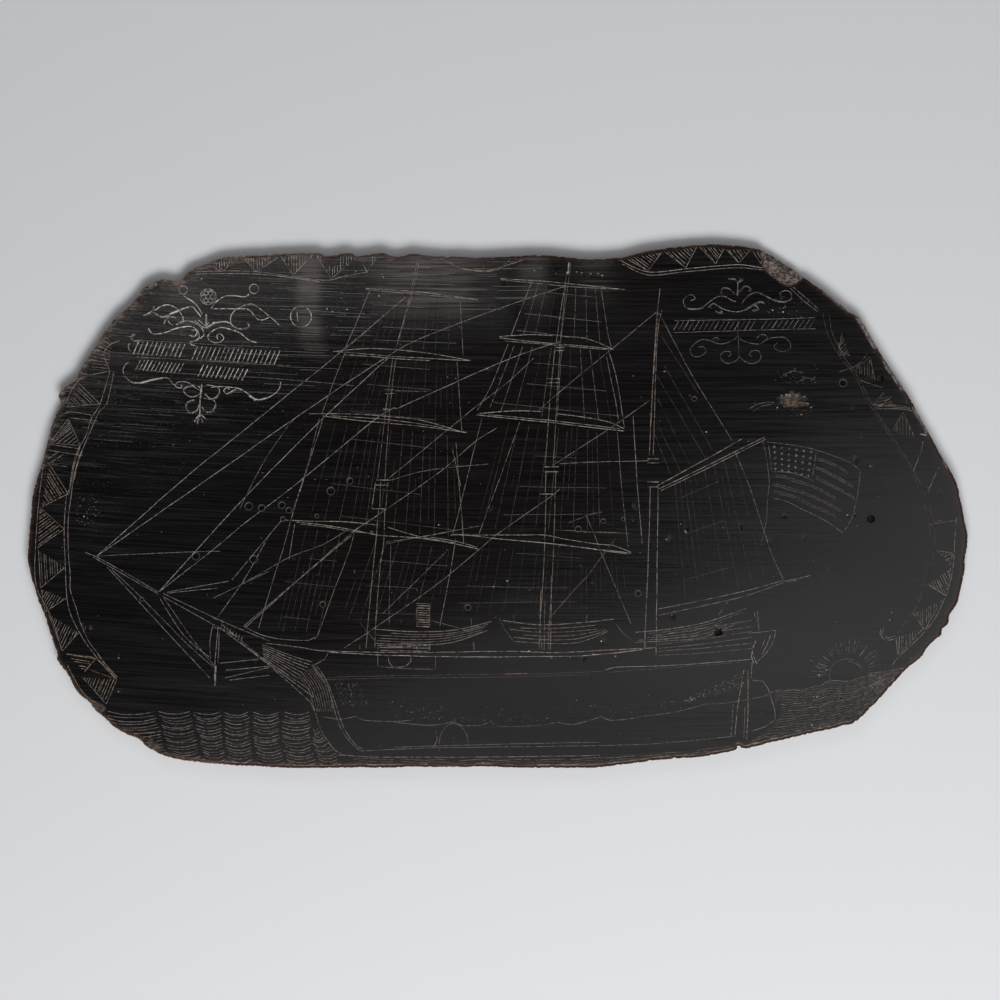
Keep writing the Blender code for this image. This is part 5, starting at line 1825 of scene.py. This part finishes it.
def baleen_material():
    material = bpy.data.materials.new("engraved baleen")
    material.use_nodes = True
    paint = Paint(material.node_tree)
    add_sources(paint)
    mix_colours(paint)
    sources = paint.sources
    inlay = paint.add("ShaderNodeAttribute", attribute_name="inlay").outputs
    body = paint.mix(paint.ramp("slant", -0.06, 0.12), "lower face", "upper face")
    for colour, *parts in LAYERS_OF_COLOUR:
        body = paint.mix(paint.mask(*parts), body, colour)
    left = paint.times(inlay["Alpha"], paint.ramp("broken", 0.38, 0.58, 0.18, 1.0))
    filling = paint.mix(paint.ramp("fleck", 0.35, 0.65, 0.0, 0.30), inlay["Color"], "stained filling")

    # Cut and bare places are rougher, and the handled borders at the top and the bottom mirror less
    bare = paint.calc("MAXIMUM", sources["fibre"], paint.ramp("rim", 0.50, 0.78))
    rough = paint.calc("ADD", paint.ramp("fine", 0.35, 0.72, 0.14, 0.25), paint.times(left, 0.30))
    rough = paint.calc("ADD", rough, paint.times(bare, 0.45))
    handled = paint.calc(
        "MAXIMUM", paint.ramp("y", -0.050, -0.080, 0.0, 0.26), paint.ramp("y", 0.062, 0.080, 0.0, 0.42)
    )
    mirror = paint.times(paint.ramp(bare, 0.0, 1.0, 0.50, 0.04), paint.calc("SUBTRACT", 1.0, handled))

    relief = paint.calc("ADD", paint.times(sources["fine"], 0.75), paint.times(sources["broad"], 0.25))
    broken = paint.calc("ADD", sources["fibre"], paint.times(sources["rim"], 0.5))
    relief = paint.calc("ADD", relief, paint.times(paint.times(sources["fleck"], broken), 2.0))
    bump = {"Strength": BUMP_STRENGTH, "Distance": BUMP_DEPTH, "Height": relief}

    shader = material.node_tree.nodes["Principled BSDF"]
    finish = {
        "Base Color": paint.mix(left, body, filling), "Roughness": rough, "Specular IOR Level": mirror,
        "Normal": paint.add("ShaderNodeBump", bump).outputs["Normal"],
    }
    for socket, value in finish.items():
        material.node_tree.links.new(value, shader.inputs[socket])
    shader.inputs["Metallic"].default_value = 0.0
    shader.inputs["IOR"].default_value = 1.5
    return material


def floor_material():
    material = bpy.data.materials.new("pale floor")
    material.use_nodes = True
    shader = material.node_tree.nodes["Principled BSDF"]
    shader.inputs["Base Color"].default_value = FLOOR_COLOUR
    shader.inputs["Roughness"].default_value = 0.85
    shader.inputs["Specular IOR Level"].default_value = 0.1
    return material


def make_stage():
    bpy.ops.mesh.primitive_plane_add(size=FLOOR_SIZE, location=(0, 0, LOW.z - FLOOR_GAP))
    floor = bpy.context.object
    floor.name = "floor"
    floor.data.materials.append(floor_material())
    world = bpy.data.worlds.new("soft room")
    bpy.context.scene.world = world
    world.use_nodes = True
    background = world.node_tree.nodes["Background"]
    background.inputs["Color"].default_value = SKY_COLOUR
    background.inputs["Strength"].default_value = SKY_STRENGTH
    bpy.context.scene.view_settings.view_transform = "Standard"


def light_panel():
    """A key light from below the picture, a weak one from behind it, and two that the face mirrors."""
    for name, place, target, size, power, turn in LIGHTS:
        data = bpy.data.lights.new(name, "AREA")
        data.shape = "RECTANGLE"
        data.size, data.size_y = size
        data.energy = power
        lamp = bpy.data.objects.new(name, data)
        bpy.context.scene.collection.objects.link(lamp)
        lamp.location = place
        aim = (Vector(target) - Vector(place)).to_track_quat("-Z", "Y")
        lamp.rotation_mode = "QUATERNION"
        lamp.rotation_quaternion = aim @ Quaternion((0, 0, 1), math.radians(turn))


def make_camera():
    """The camera looks straight down on the panel, so that a grid step spans one pixel at the face."""
    data = bpy.data.cameras.new("camera")
    data.lens = LENS
    data.sensor_width = SENSOR
    camera = bpy.data.objects.new("camera", data)
    bpy.context.scene.collection.objects.link(camera)
    x, y = to_metres([VIEW_CENTRE])[0]
    camera.location = (x, y, FACE_LEVEL + GRID_SPAN * GRID * LENS / SENSOR)
    bpy.context.scene.camera = camera


panel = make_panel()
panel.data.materials.append(baleen_material())
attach(panel, "root")
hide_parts("baleen_panel")
make_stage()
light_panel()
make_camera()
